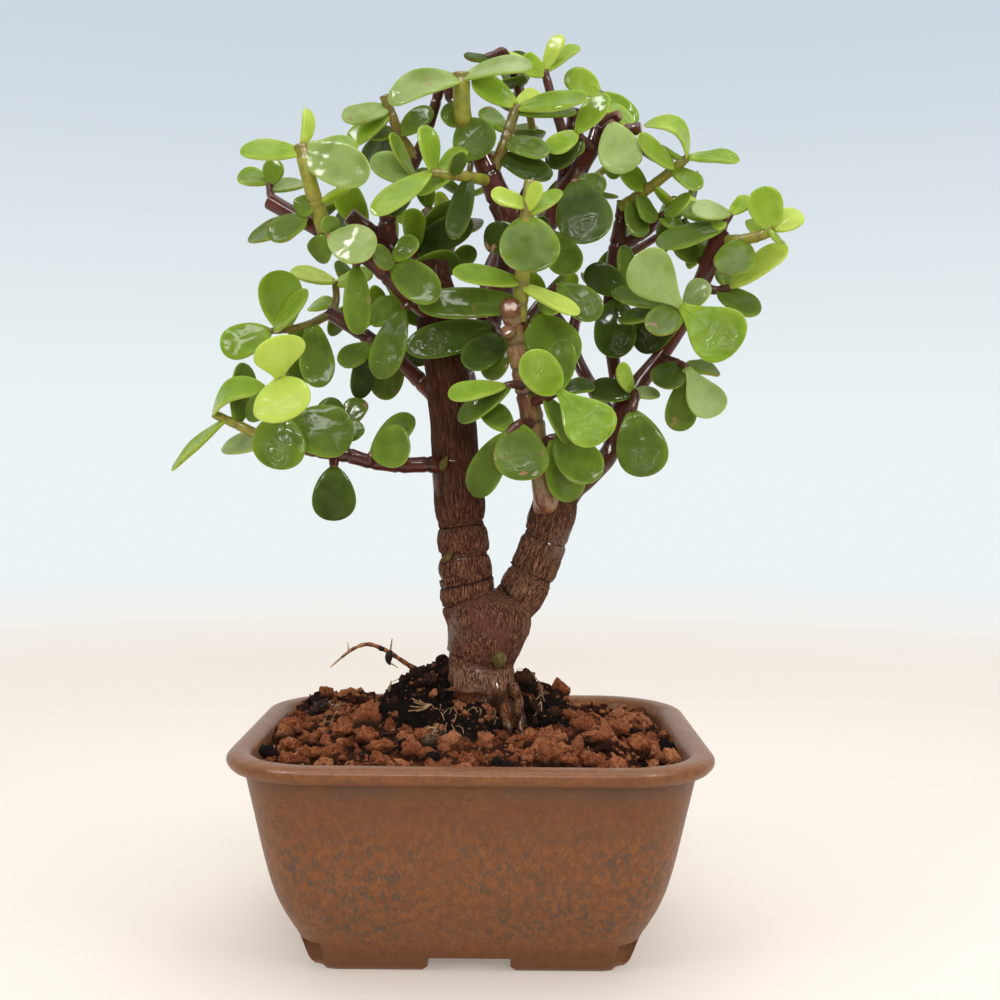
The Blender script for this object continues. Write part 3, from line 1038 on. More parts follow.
def shoot_recipe():
    """Grows a stem along its line and a leaf at each leaf point."""
    g = GeometryRecipe("leafy shoot", {
        "Leaf blank": "Object", "Thickness": "Float", "Cup": "Float", "Stem sides": "Int",
        "Leaf finish": "Material", "Stem finish": "Material"})
    given = g.given
    is_leaf = g.named("is_leaf", "BOOLEAN")
    line = g.step("DeleteGeometry", [given["Geometry"], is_leaf], domain="POINT")
    stem = g.dressed(g.swept(line, given["Stem sides"]), given["Stem finish"])

    blank = g.geometry_of(given["Leaf blank"])
    leaves = g.step("InstanceOnPoints", {
        "Points": given["Geometry"], "Selection": is_leaf, "Instance": blank})
    leaves = g.step("RealizeInstances", [leaves])
    place = g.named("leaf_base", VECTOR)
    narrow, along, out = g.split(g.vector("SUBTRACT", g.step("InputPosition"), place))
    side = narrow * ((g.named("leaf_fuller") - 1.0) * g.named("leaf_form") + 1.0)
    length, width, rise = g.split(g.named("leaf_size", VECTOR))
    curl, twist, wave = g.split(g.named("leaf_bend", VECTOR))
    outline = side * 2.0
    squared = outline * outline
    arch = along * (1.0 - along) * 4.0
    thick = out * (given["Thickness"] * 0.5)
    cup = squared * (width * given["Cup"])
    droop = curl * (along * (along * along))
    turned = twist * outline * (along - 0.4)
    ripple = g.math("SINE", along * 7.0 + outline * 2.4)
    lift = thick + cup + rise * arch + droop + turned + ripple * squared * wave
    for direction, reach in (("axis", along * length), ("across", side * width), ("front", lift)):
        place = g.vector("ADD", place, g.scaled(g.named("leaf_" + direction, VECTOR), reach))
    leaves = g.step("SetPosition", {"Geometry": leaves, "Position": place})
    return g.finish(g.together(stem, g.dressed(leaves, given["Leaf finish"])))


def limb_recipe():
    """Sweeps a round section along each line, cuts the rings into it, and roughens it with bark that
    runs lengthwise."""
    g = GeometryRecipe("woody limb", {
        "Sides": "Int", "Furrow depth": "Float", "Ring depth": "Float", "Finish": "Material"})
    given = g.given
    here = g.step("InputPosition")
    wood = g.swept(g.store(given["Geometry"], "middle_here", here, VECTOR), given["Sides"])
    radius = g.named("radius_here")
    x, y, _ = g.split(g.scaled(g.named("around", VECTOR), radius * MM_IN_METRE))
    along, number, _ = g.split(g.named("along_here", VECTOR))
    wood = g.store(wood, "grain", g.joined(x + number * 37.0, y, along), VECTOR)
    grain = g.named("grain", VECTOR)
    furrows = g.streaks(grain, (0.55, 0.55, 0.1), 1.0, 4.0, 0.6, 0.3)
    lumps = g.noise(grain, 0.22, 2.0)
    depth = given["Furrow depth"] * g.band(radius, 0.0015, 0.009, 0.12, 1.0)
    relief = (furrows - 0.5 + (lumps - 0.5) * 1.2) * depth
    past_ring, tilt, _ = g.split(g.named("ring_here", VECTOR))
    to_side = g.split(g.vector("SUBTRACT", here, g.named("middle_here", VECTOR)))[0]
    wobble = (g.noise(grain, 0.35, 2.0) - 0.5) * 1.1
    gap = g.math("ABSOLUTE", past_ring - to_side * MM_IN_METRE * tilt + wobble)
    wood = g.store(wood, "ring_near", g.band(gap, 0.34, 0.06) + g.band(gap, 1.0, 0.3, 0.0, 0.35))
    sunk = g.band(gap, 3.4, 0.0) + g.band(gap, 0.5, 0.05) * 0.9
    relief = relief - sunk * given["Ring depth"]
    wood = g.shifted(wood, g.scaled(g.step("InputNormal"), relief))
    return g.finish(g.dressed(wood, given["Finish"]))


def scattered(g, bed, selection, spacing, smallest, biggest, sink, seed):
    """Points spread over a bed, each with a size and a tone for its stone."""
    spread = g.step("DistributePointsOnFaces", {
        "Mesh": bed, "Selection": selection, "Distance Min": spacing, "Density Max": 700000.0,
        "Seed": seed}, distribute_method="POISSON")
    size = g.math("POWER", g.draw(0.0, 1.0, 3), 1.7) * (biggest - smallest) + smallest
    spread = g.store(spread, "stone_size", size)
    spread = g.store(spread, "stone_tone", g.draw(0.0, 1.0, 7))
    return g.shifted(spread, g.joined(0.0, 0.0, g.named("stone_size") * sink))


def rubble_recipe():
    """Roughens a bed and covers its top with seeded rough stones in two sizes, smaller where the wall
    is near, and with the stones that were chosen one by one."""
    g = GeometryRecipe("rubble", {
        "Wall": "Object", "Chosen stones": "Object", "Steps finer": "Int", "Roughness": "Float",
        "Big spacing": "Float", "Big least": "Float", "Big most": "Float", "Small spacing": "Float",
        "Small least": "Float", "Small most": "Float", "Lowest": "Float", "Seed": "Int",
        "Bed finish": "Material", "Stone finish": "Material"})
    given = g.given
    here = g.step("InputPosition")
    normal = g.step("InputNormal")
    bed = g.step("SubdivideMesh", [given["Geometry"], given["Steps finer"]])
    relief = (g.noise(here, 420.0, 4.0, 0.65) - 0.58) * given["Roughness"]
    bed = g.shifted(bed, g.scaled(normal, relief))
    facing_up = g.math("GREATER_THAN", g.split(normal)[2], 0.3)
    open_top = facing_up * g.math("GREATER_THAN", g.split(here)[2], given["Lowest"])
    seed = given["Seed"]
    big, small = (
        scattered(g, bed, open_top, given[size + " spacing"], given[size + " least"],
                  given[size + " most"], sink, own)
        for size, sink, own in (("Big", -0.25, seed), ("Small", 0.1, seed + 1.0)))
    chosen = g.geometry_of(given["Chosen stones"])
    wall = g.geometry_of(given["Wall"])
    to_wall = g.value("GeometryNodeProximity", [wall], "Distance")
    kinds = []
    for points, steps in ((big, 2), (small, 1), (chosen, 3)):
        points = g.store(points, "stone_middle", here, VECTOR)
        shift = g.draw((-9.0, -9.0, -9.0), (9.0, 9.0, 9.0), 5, VECTOR)
        points = g.store(points, "stone_shift", shift, VECTOR)
        size = g.math("MINIMUM", g.named("stone_size"), to_wall + 0.0002)
        stretch = g.draw((0.85, 0.7, 0.6), (1.2, 1.05, 0.95), 2, VECTOR)
        angles = g.draw((0, 0, 0), (6.28, 6.28, 6.28), 4, VECTOR)
        ball = g.store(g.step("MeshIcoSphere", [1.0, steps]), "stone_side", here, VECTOR)
        stones = g.step("InstanceOnPoints", {
            "Points": points, "Instance": ball,
            "Rotation": g.value("FunctionNodeEulerToRotation", [angles]),
            "Scale": g.vector("MULTIPLY", g.joined(size, size, size), stretch)})
        kinds.append(g.step("RealizeInstances", [stones]))
    own = g.vector("ADD", g.named("stone_side", VECTOR), g.named("stone_shift", VECTOR))
    lumpy = (g.noise(own, 1.0, 2.0, 0.5) - 0.5) * 1.4
    chipped = (g.cells(own, 1.2) - 0.45) * -0.8
    crumbly = (g.noise(own, 3.6, 3.0, 0.7) - 0.5) * 0.5
    from_middle = g.vector("SUBTRACT", here, g.named("stone_middle", VECTOR))
    stones = g.shifted(g.together(*reversed(kinds)), g.scaled(from_middle, lumpy + chipped + crumbly))
    above = g.split(here)[2] - g.split(g.named("stone_middle", VECTOR))[2]
    stones = g.store(stones, "stone_rise", above / g.named("stone_size"))
    stones = g.dressed(stones, given["Stone finish"], smooth=False)
    return g.finish(g.together(g.dressed(bed, given["Bed finish"]), stones))


def leaf_finish(look):
    """Thick glossy leaf: its age sets the green, its upper face may have a pale bloom, and there are a
    light rim, a channelled base, dark specks, dry scars and pools of water."""
    f = Finish("glossy_leaf")
    side, along, out = f.split(f.read_vector("leaf_spot"))
    tone = f.read("leaf_tone")
    bloom = f.read("leaf_bloom")
    own_number = f.read("leaf_seed")
    holds_water = f.math("GREATER_THAN", own_number, 1.0)
    seed = f.math("FRACT", own_number)
    own = f.vector("ADD", f.place, f.joined(seed, seed, seed))
    edge = f.math("ABSOLUTE", side)
    mottle = f.noise(own, 330.0, 4.0, 0.6)
    cloud = f.noise(own, 95.0, 2.0)
    shade = tone + (mottle - 0.5) * 0.2 + (cloud - 0.5) * 0.3
    shade = shade + f.band(along, 0.32, 0.0) * 0.14 + f.band(edge, 0.55, 1.0) * 0.1
    face = f.ramp(shade, (0.05, look.old), (0.36, look.grown), (0.64, look.bright), (0.95, look.young))
    below = f.ramp(shade, (0.1, look.grown), (0.5, look.under), (0.95, look.young))
    upper = f.band(out, -0.35, 0.2)
    f.colour = f.blend(upper, below, face)
    f.tint(bloom * upper * f.band(cloud, 0.3, 0.6, 0.35, 1.0), look.dusty)
    at_sides = f.band(edge, 0.95, 0.99) * f.band(along, 0.12, 0.35)
    rim = f.math("MAXIMUM", at_sides, f.band(along, 0.978, 0.995))
    red = f.band(f.noise(own, 120.0, 1.0), 0.46, 0.6) * f.band(seed, 0.5, 0.62) * f.band(tone, 0.6, 0.35)
    rim_light = f.blend(f.band(tone, 0.15, 0.6), look.bright, look.rim)
    f.tint(rim * 0.6, f.blend(red * 0.85, rim_light, look.red_rim))
    speck = f.band(f.cells(own, 620.0), 0.13, 0.05) * f.band(f.noise(own, 140.0, 1.0), 0.45, 0.6)
    f.tint(speck * 0.75, look.speck)
    scar = f.band(f.noise(own, 240.0, 3.0, 0.65), 0.6, 0.66) * f.band(seed, 0.74, 0.76)
    f.tint(scar * (f.band(along, 0.35, 0.6) * f.band(tone, 0.7, 0.5)) * 0.85, look.scar)

    across = (side + (cloud - 0.5) * 2.0) * 1.1
    onward = (along - 0.72) / 0.3
    warp = (f.noise(own, 130.0, 2.0) - 0.5) * 1.5
    reach = f.math("SQRT", across * across + onward * onward) + warp
    pool = f.band(reach, 0.75, 0.5) * (holds_water * f.band(out, 0.1, 0.3))
    film = f.band(f.noise(own, 75.0, 1.0), 0.44, 0.56) * f.band(out, 0.0, 0.3)
    ripple = f.noise(own, 260.0, 1.0, 0.4)
    rings = (f.math("SINE", reach * 24.0) * 0.5 + ripple) * pool
    water = pool + rings + ripple * film * 0.5
    f.emboss((f.band(edge, 0.0, 0.22) - 1.0) * f.band(along, 0.75, 0.05), 0.00015)
    f.emboss(cloud, 0.0012)
    f.emboss(f.noise(own, 1500.0, 3.0), 0.00004)
    shine = f.math("MAXIMUM", pool, film * 0.4)
    return f.made(
        Roughness=look.roughness + (mottle - 0.5) * 0.16 + bloom * 0.2, Specular_IOR_Level=0.02,
        Coat_Weight=(0.12 + shine * 0.88) * look.wetness, Coat_Roughness=0.04, Coat_IOR=1.4,
        Coat_Normal=f.bump(water, 0.0006, f.normal),
        Subsurface_Weight=0.25, Subsurface_Radius=(0.55, 1.0, 0.12), Subsurface_Scale=0.0014)


def stem_finish(look):
    """Stem of a shoot: brown, olive or green bark with ring scars, and tan cut ends with a dark rim."""
    f = Finish("shoot_stem")
    tone, ring, cut = f.split(f.read_vector("stem_look"))
    mottle = f.noise(f.place, 420.0, 4.0, 0.6)
    broad = f.noise(f.place, 130.0, 2.0)
    brown = f.ramp(mottle, (0.3, look.twig), (0.72, look.twig_light))
    green = f.ramp(mottle * 0.45 + broad * 0.55, (0.34, look.green_stem), (0.62, look.green_stem_light))
    f.colour = f.blend(tone, brown, green)
    f.tint(f.band(broad, 0.52, 0.66) * 0.35, look.stem_blush)
    f.tint(ring * 0.5, look.scar)
    end = f.ramp(
        cut + (mottle - 0.5) * 0.7, (0.45, look.cut_rim), (0.62, look.cut), (0.95, look.cut_light))
    f.tint(f.band(cut, 0.1, 0.3), end)
    f.emboss(f.noise(f.place, 900.0, 3.0), 0.00008)
    f.emboss(mottle * f.band(cut, 0.1, 0.4, 0.15, 1.0), 0.0005)
    return f.made(
        Roughness=0.24 + mottle * 0.25, Specular_IOR_Level=0.28, Coat_Weight=0.3, Coat_Roughness=0.1)


def bark_finish(look):
    """Dark red-brown bark with fine lengthwise tan streaks on the thick limbs, wet crimson bark on the
    twigs, smooth olive skin on the young limbs, black ring lines, and tan cut ends."""
    f = Finish("trunk_bark")
    grain = f.read_vector("grain")
    _, ring, cut = f.split(f.read_vector("wood_look"))
    sideways, _, height = f.split(f.place)
    smooth_limb = f.band(sideways, 0.027, 0.036) * f.band(height, 0.12, 0.145, 0.0, 0.45)
    kind = f.math("MAXIMUM", f.read("wood_kind"), smooth_limb)
    ring = f.math("MAXIMUM", ring * 0.8, f.read("ring_near"))
    streak = f.streaks(grain, (2.9, 2.9, 0.32), 1.0, 4.0, 0.6, 0.5)
    strand = f.streaks(grain, (6.5, 6.5, 0.7), 1.0, 3.0, 0.6, 0.4)
    broad = f.streaks(grain, (0.2, 0.2, 0.09), 1.0, 3.0)
    fleck = f.streaks(grain, (3.2, 3.2, 1.5), 1.0, 4.0, 0.7)
    lines = streak * 0.55 + strand * 0.45
    f.colour = f.ramp(
        lines, (0.43, look.bark_dark), (0.47, look.bark), (0.51, look.bark_red),
        (0.55, look.bark_light), (0.59, look.bark_tan))
    plum = f.band(broad, 0.45, 0.58) * f.band(height, 0.1, 0.088)
    f.tint(plum * 0.8, f.ramp(strand, (0.38, look.bark_red), (0.6, look.bark_plum)))
    rightward = f.math("MAXIMUM", f.band(sideways, 0.003, 0.012), f.band(broad, 0.58, 0.44, 0.0, 0.5))
    dry_streak = f.ramp(lines, (0.44, look.bark_dark), (0.49, look.bark_olive), (0.55, look.bark_tan))
    f.tint(rightward * 0.45, dry_streak)
    f.tint(f.band(height, 0.1, 0.135, 0.0, 0.72), look.bark_deep)
    crust = f.ramp(
        fleck * 0.25 + lines * 0.75, (0.45, look.bark_dark), (0.49, look.bark_red),
        (0.53, look.bark_tan), (0.58, look.root_pale))
    f.tint(f.band(height, 0.0785, 0.076) * 0.85, crust)
    root = f.ramp(
        fleck * 0.6 + streak * 0.4, (0.44, look.bark_dark), (0.49, look.root_bark),
        (0.54, look.root_bark), (0.6, look.root_pale))
    moss = f.band(f.noise(f.place, 330.0, 2.0), 0.58, 0.66) * 0.7
    low = f.band(height, 0.0722, 0.0705)
    f.tint(low, f.blend(moss, root, look.skin))
    damp = f.band(f.noise(f.place, 210.0, 3.0), 0.47, 0.57) * f.band(height, 0.074, 0.067)
    f.tint(damp * 0.8, look.bark_dark)
    twig = f.ramp(streak * 0.5 + broad * 0.5, (0.38, look.twig), (0.6, look.twig_light))
    skin = f.ramp(
        broad * 0.6 + streak * 0.4, (0.42, look.skin), (0.49, look.skin_light), (0.54, look.skin_red))
    bud = f.ramp(
        f.noise(f.place, 900.0, 4.0, 0.65), (0.4, look.skin), (0.5, look.bud), (0.6, look.skin_red))
    for level, cover in ((0.1, twig), (0.6, skin), (1.1, bud)):
        f.tint(f.band(kind, level, level + 0.3), cover)
    f.tint(ring * 0.9, look.bark_dark)
    end = f.ramp(cut + (fleck - 0.5) * 0.8, (0.4, look.cut_rim), (0.7, look.cut), (1.0, look.cut_light))
    f.tint(f.band(cut, 0.1, 0.3) * 0.85, end)
    slim = f.band(kind, 0.1, 0.4) * f.band(kind, 1.4, 1.1)
    relief = f.between(slim, 1.0, 0.22)
    f.emboss(lines * relief, 0.0011)
    f.emboss(fleck * (relief + low * 3.0), 0.0005)
    wet = f.band(f.noise(f.place, 90.0, 1.0), 0.5, 0.62)
    return f.made(
        Roughness=f.between(slim, 0.5 + lines * 0.3, 0.3), Specular_IOR_Level=0.09,
        Coat_Weight=(wet * 0.8 + slim) * 0.55, Coat_Roughness=0.1)


def root_finish(look):
    """Brown root that pales to a straw tip, with dark lumps of soil."""
    f = Finish("wiry_root")
    radius = f.split(f.read_vector("wood_look"))[0]
    mottle = f.noise(f.place, 900.0, 4.0, 0.65)
    f.colour = f.blend(f.band(radius, 0.3, 0.66), look.root_tip, look.root_bark)
    f.tint(f.band(mottle, 0.46, 0.6), look.bark)
    f.tint(f.band(f.read("wood_kind"), 0.1, 0.4), look.bark_dark)
    f.emboss(mottle, 0.0008)
    return f.made(Roughness=0.7, Specular_IOR_Level=0.2)


def glaze_finish(look):
    """Satin brown glaze: rusty spots and grey-brown clouds run down the wall, the lip is lighter, the
    feet darker, and there are a few pits. Heights are in metres above the floor."""
    f = Finish("brown_glaze")
    height = f.split(f.place)[2]
    mottle = f.noise(f.place, 420.0, 3.0)
    fine = f.streaks(f.place, (1.0, 1.0, 0.4), 1500.0, 3.0)
    grey = f.streaks(f.place, (1.0, 1.0, 0.55), 760.0, 3.0, 0.6, 0.3)
    cloud = f.noise(f.place, 42.0, 3.0)
    f.colour = f.ramp(mottle, (0.38, look.glaze), (0.62, look.glaze_light))
    f.tint(f.band(fine, 0.45, 0.62, 0.0, 0.4), look.glaze_dark)
    middle = f.band(height, 0.052, 0.03) * f.band(height, 0.006, 0.014)
    density = 0.15 + middle * f.band(cloud, 0.42, 0.58, 0.3, 0.8)
    f.tint(f.band(grey, 0.48, 0.6) * density, look.glaze_grey)
    upper_wall = f.band(height, 0.034, 0.048) * f.band(height, 0.0565, 0.0545)
    f.tint(upper_wall * 0.45, look.glaze_dark)
    under_lip = f.band(height, 0.049, 0.0515) * f.band(height, 0.0552, 0.0538)
    f.tint(under_lip * f.band(cloud, 0.4, 0.6, 0.15, 0.6), look.glaze_grey)
    lip = f.band(height, 0.0575, 0.0588) * f.band(fine, 0.4, 0.6, 1.0, 0.6)
    f.tint(lip * 0.5, look.glaze_edge)
    f.tint(f.band(height, 0.009, 0.005) * 0.6, look.glaze_dark)
    f.tint(f.band(f.noise(f.place, 1700.0, 2.0), 0.6, 0.68) * 0.3, look.glaze_edge)
    pits = f.band(f.cells(f.place, 130.0), 0.045, 0.03)
    f.tint(pits * 0.9, look.pit)
    f.tint(f.band(height, 0.0012, 0.0004), look.bare_clay)
    f.emboss(f.noise(f.place, 38.0, 2.0), 0.0008)
    f.emboss(f.noise(f.place, 900.0, 3.0), 0.00008)
    f.emboss(pits, -0.0004)
    rough = look.roughness + (grey - 0.5) * 0.3 - f.band(height, 0.054, 0.0575) * 0.1
    return f.made(Roughness=rough, Specular_IOR_Level=0.22)


def crumb_finish(name, look, colours, odd, odd_share):
    """Rough fired clay or soil, with some stones of an odd colour. Each stone has its own tone: past 1
    it is one of the stones that were chosen one by one."""
    f = Finish(name)
    tone = f.read("stone_tone")
    grit = f.noise(f.place, 900.0, 5.0, 0.8)
    shade = f.math("MINIMUM", tone, 1.0) * 0.4 + grit * 0.8 + f.noise(f.place, 260.0, 3.0) * 0.25
    f.colour = f.ramp(shade, *zip((0.5, 0.69, 0.9), colours))
    is_odd = f.math("GREATER_THAN", tone, 1 - odd_share) * f.math("LESS_THAN", tone, 1.0)
    f.tint(is_odd, f.ramp(grit, *zip((0.38, 0.62), odd)))
    for level, stone in (
            (1.05, look.soil_light), (1.35, look.dark_stone), (1.65, look.grey_stone),
            (1.95, look.tan_stone), (2.25, look.brown_stone), (2.55, look.seed)):
        shaded = f.blend(f.band(grit, 0.35, 0.62), look.soil_dark, stone)
        f.tint(f.math("GREATER_THAN", tone, level), shaded)
    pores = f.band(f.cells(f.place, 1100.0), 0.36, 0.16)
    f.tint(pores * 0.6, colours[0])
    f.tint(f.band(f.read("stone_rise"), 0.45, -0.35, 0.0, 0.9), look.soil_dark)
    f.emboss(grit - pores * 0.3, 0.003)
    return f.made(Roughness=0.85, Specular_IOR_Level=0.08)


def fibre_finish(look):
    """Pale dry straw."""
    f = Finish("dry_fibre")
    f.colour = f.ramp(f.noise(f.place, 700.0, 3.0), (0.35, look.straw_dark), (0.6, look.straw))
    return f.made(Roughness=0.6, Specular_IOR_Level=0.3)


def net_finish():
    """Dark plastic net over the drain holes."""
    f = Finish("drain_net")
    fine = f.noise(f.place, 800.0, 3.0)
    f.colour = f.ramp(fine, (0.3, (0.012, 0.013, 0.014)), (0.7, (0.03, 0.032, 0.034)))
    f.emboss(fine, 0.0001)
    return f.made(Roughness=0.5)


def ring_gaps(centres, rings, shares, reach):
    """For each share of a limb, how far it is past the nearest ring, and the ring's tilt."""
    if not rings:
        return [(FAR_RING, 0)] * len(shares)
    heights = np.array([centres.at(share)[2] for share in shares])
    crossings = [(shares[np.argmin(np.abs(heights - height))], tilt) for height, tilt in rings]
    gaps = []
    for share in shares:
        near, tilt = min(crossings, key=lambda crossing: abs(share - crossing[0]))
        gaps.append(((share - near) * reach, tilt))
    return gaps


def finer_near(shares, gaps, radius):
    """Adds shares between those that lie near a ring."""
    closer = []
    for share, after, (gap, tilt) in zip(shares, shares[1:], gaps):
        closer.append(share)
        if abs(gap) < RING_REACH + abs(tilt) * radius:
            closer += [share + (after - share) * part / RING_SPLIT for part in range(1, RING_SPLIT)]
    return [*closer, shares[-1]]


def tube_lines(centres, radii, number, step, kind=0.0, ring_shares=(), ring_depth=0.0, rings=()):
    """Points close together along a line, with a rounded end, and what a limb's recipe reads there."""
    steps = REACH_STEPS
    reach = sum(np.linalg.norm(centres.at((i + 1) / steps) - centres.at(i / steps))
                for i in range(steps))
    count = max(int(reach / step), FEWEST_ROWS)
    shares = [i / count for i in range(count + 1)]
    if rings:
        shares = finer_near(shares, ring_gaps(centres, rings, shares, reach), radii.at(0.5)[0])
    gaps = ring_gaps(centres, rings, shares, reach)
    ring_places = [centres.at(share) for share in ring_shares]
    labels = ("place", "radius_here", "wood_look", "along_here", "ring_here", "wood_kind")
    lines = {label: [] for label in labels}

    def add(place, radius, look, along, gap):
        for label, value in zip(labels, (place, radius, look, (along, number, 0), (*gap, 0), kind)):
            lines[label].append(value)

    for share, gap in zip(shares, gaps):
        here = centres.at(share)
        radius = radii.at(share)[0]
        near = min((np.linalg.norm(here - ring) for ring in ring_places), default=FAR_RING)
        closeness = math.exp(-(near / RING_WIDTH) ** 2)
        swelling = math.exp(-(near / (3 * RING_WIDTH)) ** 2)
        swollen = radius * (1 + ring_depth * (swelling - 2 * closeness))
        add(here, swollen, (radius, closeness, 0), share * reach, gap)
    onward = centres.direction(1)
    last = lines["radius_here"][-1]
    shows = 1 if last < WIDEST_CUT else 0
    for ahead, narrowed, middle in ROUNDED_END:
        place = centres.at(1) + onward * ahead * last
        add(place, last * narrowed, (last, 0, middle * shows), reach, (FAR_RING, 0))
    return lines


def path_lines(path, number, step, **settings):
    """The lines of a path whose points are x, z, depth and radius."""
    return tube_lines(route_of(path), Route([[radius] for *_, radius in path]), number, step, **settings)


def lines_as_mesh(name, many):
    """Several lines in one mesh."""
    kinds = {"radius_here": "FLOAT", "wood_look": VECTOR, "along_here": VECTOR, "ring_here": VECTOR,
             "wood_kind": "FLOAT"}
    points, edges = [], []
    values = {label: [] for label in kinds}
    for lines in many:
        first = len(points)
        points += lines["place"]
        edges += [(i, i + 1) for i in range(first, len(points) - 1)]
        for label in kinds:
            values[label] += lines[label]
    values["radius_here"] = np.array(values["radius_here"]) * MM
    values = [(label, kind, values[label]) for label, kind in kinds.items()]
    return lines_mesh(name, points, edges, values)


def joint_shares(path):
    """Where the points between a path's ends lie along it."""
    return [i / (len(path) - 1) for i in range(1, len(path) - 1)]


def shoot_mesh(number, placed, random):
    """A shoot's stem line and leaf points, with all that the recipe needs to grow them."""
    path, stem, *_ = SHOOTS[number - 1]
    ring_shares = [share for _, share, _ in placed]
    lines = path_lines(path, 0, STEM_STEP, ring_shares=ring_shares, ring_depth=0.07)
    points = list(lines["place"])
    stems = len(points)
    edges = [(i, i + 1) for i in range(stems - 1)]
    none = [(0, 0, 0)]
    numbers = {"leaf_" + label: [0] * stems for label in ("tone", "bloom", "seed", "form")}
    vectors = {"leaf_" + label: none * stems
               for label in ("base", "axis", "across", "front", "size", "bend")}
    for leaf, (place, _, age) in enumerate(placed, 1):
        points.append(place["base"])
        vectors["leaf_base"].append(in_metres(place["base"]))
        for label in ("axis", "across", "front"):
            vectors["leaf_" + label].append(place[label])
        vectors["leaf_size"].append([place[label] * MM for label in ("length", "width", "rise")])
        bend = [random.uniform(-most, most) * MM for most in (LEAF_CURL, LEAF_TWIST, LEAF_WAVE)]
        vectors["leaf_bend"].append(bend)
        tone, bloom = AGE_LOOKS[age.lower()]
        numbers["leaf_tone"].append(tone + random.uniform(-0.06, 0.06))
        numbers["leaf_bloom"].append(bloom * random.uniform(0.7, 1.2))
        numbers["leaf_seed"].append(random.random() + ((number, leaf) in WET_LEAVES))
        numbers["leaf_form"].append(0.1 if age.isupper() else random.uniform(0.65, 1))
    looks = [(STEM_TONES[stem], ring, cut) for _, ring, cut in lines["wood_look"]]
    values = [(label, "FLOAT", given) for label, given in numbers.items()]
    values += [(label, VECTOR, given) for label, given in vectors.items()]
    radii = [size * MM for size in lines["radius_here"]]
    values += [("is_leaf", "BOOLEAN", [0] * stems + [1] * len(placed)),
               ("radius_here", "FLOAT", radii + [0] * len(placed)),
               ("stem_look", VECTOR, looks + none * len(placed))]
    return lines_mesh("starter", points, edges, values)


def moved(placed, number):
    """A shoot's leaves, with those that show at another place than their solids put there."""
    shown = list(placed)
    for (shoot, leaf), (tip, base, width, turn) in MOVED_LEAVES.items():
        if shoot == number:
            place, share, age = shown[leaf - 1]
            start = place["base"] if base is None else seen(*base)
            shown[leaf - 1] = (leaf_place(start, seen(*tip), width, turn), share, age)
    return shown


def skirt_mesh():
    """The closed ring of soil round the trunk's foot, in metres."""
    middle = seen(*TRUNK_FOOT[1][:3])
    inside = SKIRT_INSIDE
    bearings, *profiles = zip(*SKIRT)
    rings = []
    for column in range(SKIRT_COLUMNS):
        bearing = 360 * column / SKIRT_COLUMNS
        height, reach, bulge = (np.interp(bearing, bearings, profile) for profile in profiles)
        outward = np.array([math.cos(math.radians(bearing)), math.sin(math.radians(bearing)), 0])
        ring = []
        for step in range(SKIRT_ROWS + 1):
            share = step / SKIRT_ROWS
            out = inside + (reach - inside) * share
            z = height + (SKIRT_FOOT - height) * share ** 0.9 + bulge * math.sin(math.pi * share)
            ring.append((out, z))
        ring += [(reach - 1, SKIRT_FOOT - 3), (inside - 1, SKIRT_FOOT - 3)]
        rings.append([(middle[0], middle[1], 0) + outward * out + (0, 0, z) for out, z in ring])
    count = len(rings[0])
    points = [tuple(in_metres(point)) for ring in rings for point in ring]
    faces = []
    for column in range(SKIRT_COLUMNS):
        here = column * count
        there = (column + 1) % SKIRT_COLUMNS * count
        for i in range(count):
            after = (i + 1) % count
            faces.append((here + i, here + after, there + after, there + i))
    return mesh_of("soil_skirt", points, faces=faces)


def heap_up(mesh):
    """Raises the top of the bed towards its back left, where it lies level with the rim."""
    for vertex in mesh.vertices:
        x, y, z = in_mm(vertex.co)
        if z > BED_TOP - HEAP_BELOW:
            leftward = np.clip((HEAP_START[0] - x) / HEAP_WIDTH, 0, 1)
            backward = np.clip((y - HEAP_START[1]) / HEAP_DEPTH, 0, 1)
            vertex.co.z += HEAP_RISE * leftward * backward * MM


def surface_of(meshes):
    """The faces of several meshes, to cast rays at."""
    points, faces = [], []
    for mesh in meshes:
        first = len(points)
        points += [vertex.co.copy() for vertex in mesh.vertices]
        faces += [[first + i for i in face.vertices] for face in mesh.polygons]
    return BVHTree.FromPolygons(points, faces)


def met_by_sight(surface, x, z):
    """Where the line of sight through a place seen from the front meets the bed."""
    eye = Vector(in_metres(EYE))
    for drawn_in in (1, 0.97, 0.94, 0.9):
        hit = surface.ray_cast(eye, Vector(in_metres([x * drawn_in, 0, z])) - eye)[0]
        if hit is not None:
            return in_mm(hit)
    raise RuntimeError(f"what is seen at {x}, {z} meets no bed")


def stones_mesh(surface):
    """A point for each chosen stone, set on the bed by its foot."""
    places = [met_by_sight(surface, x, z - 0.7 * radius) + (0, 0, 0.6 * radius)
              for x, z, radius, _ in STONES]
    return lines_mesh("chosen_stones", places, [], [
        ("stone_size", "FLOAT", [radius * MM for _, _, radius, _ in STONES]),
        ("stone_tone", "FLOAT", [STONE_TONES[kind] for *_, kind in STONES])])


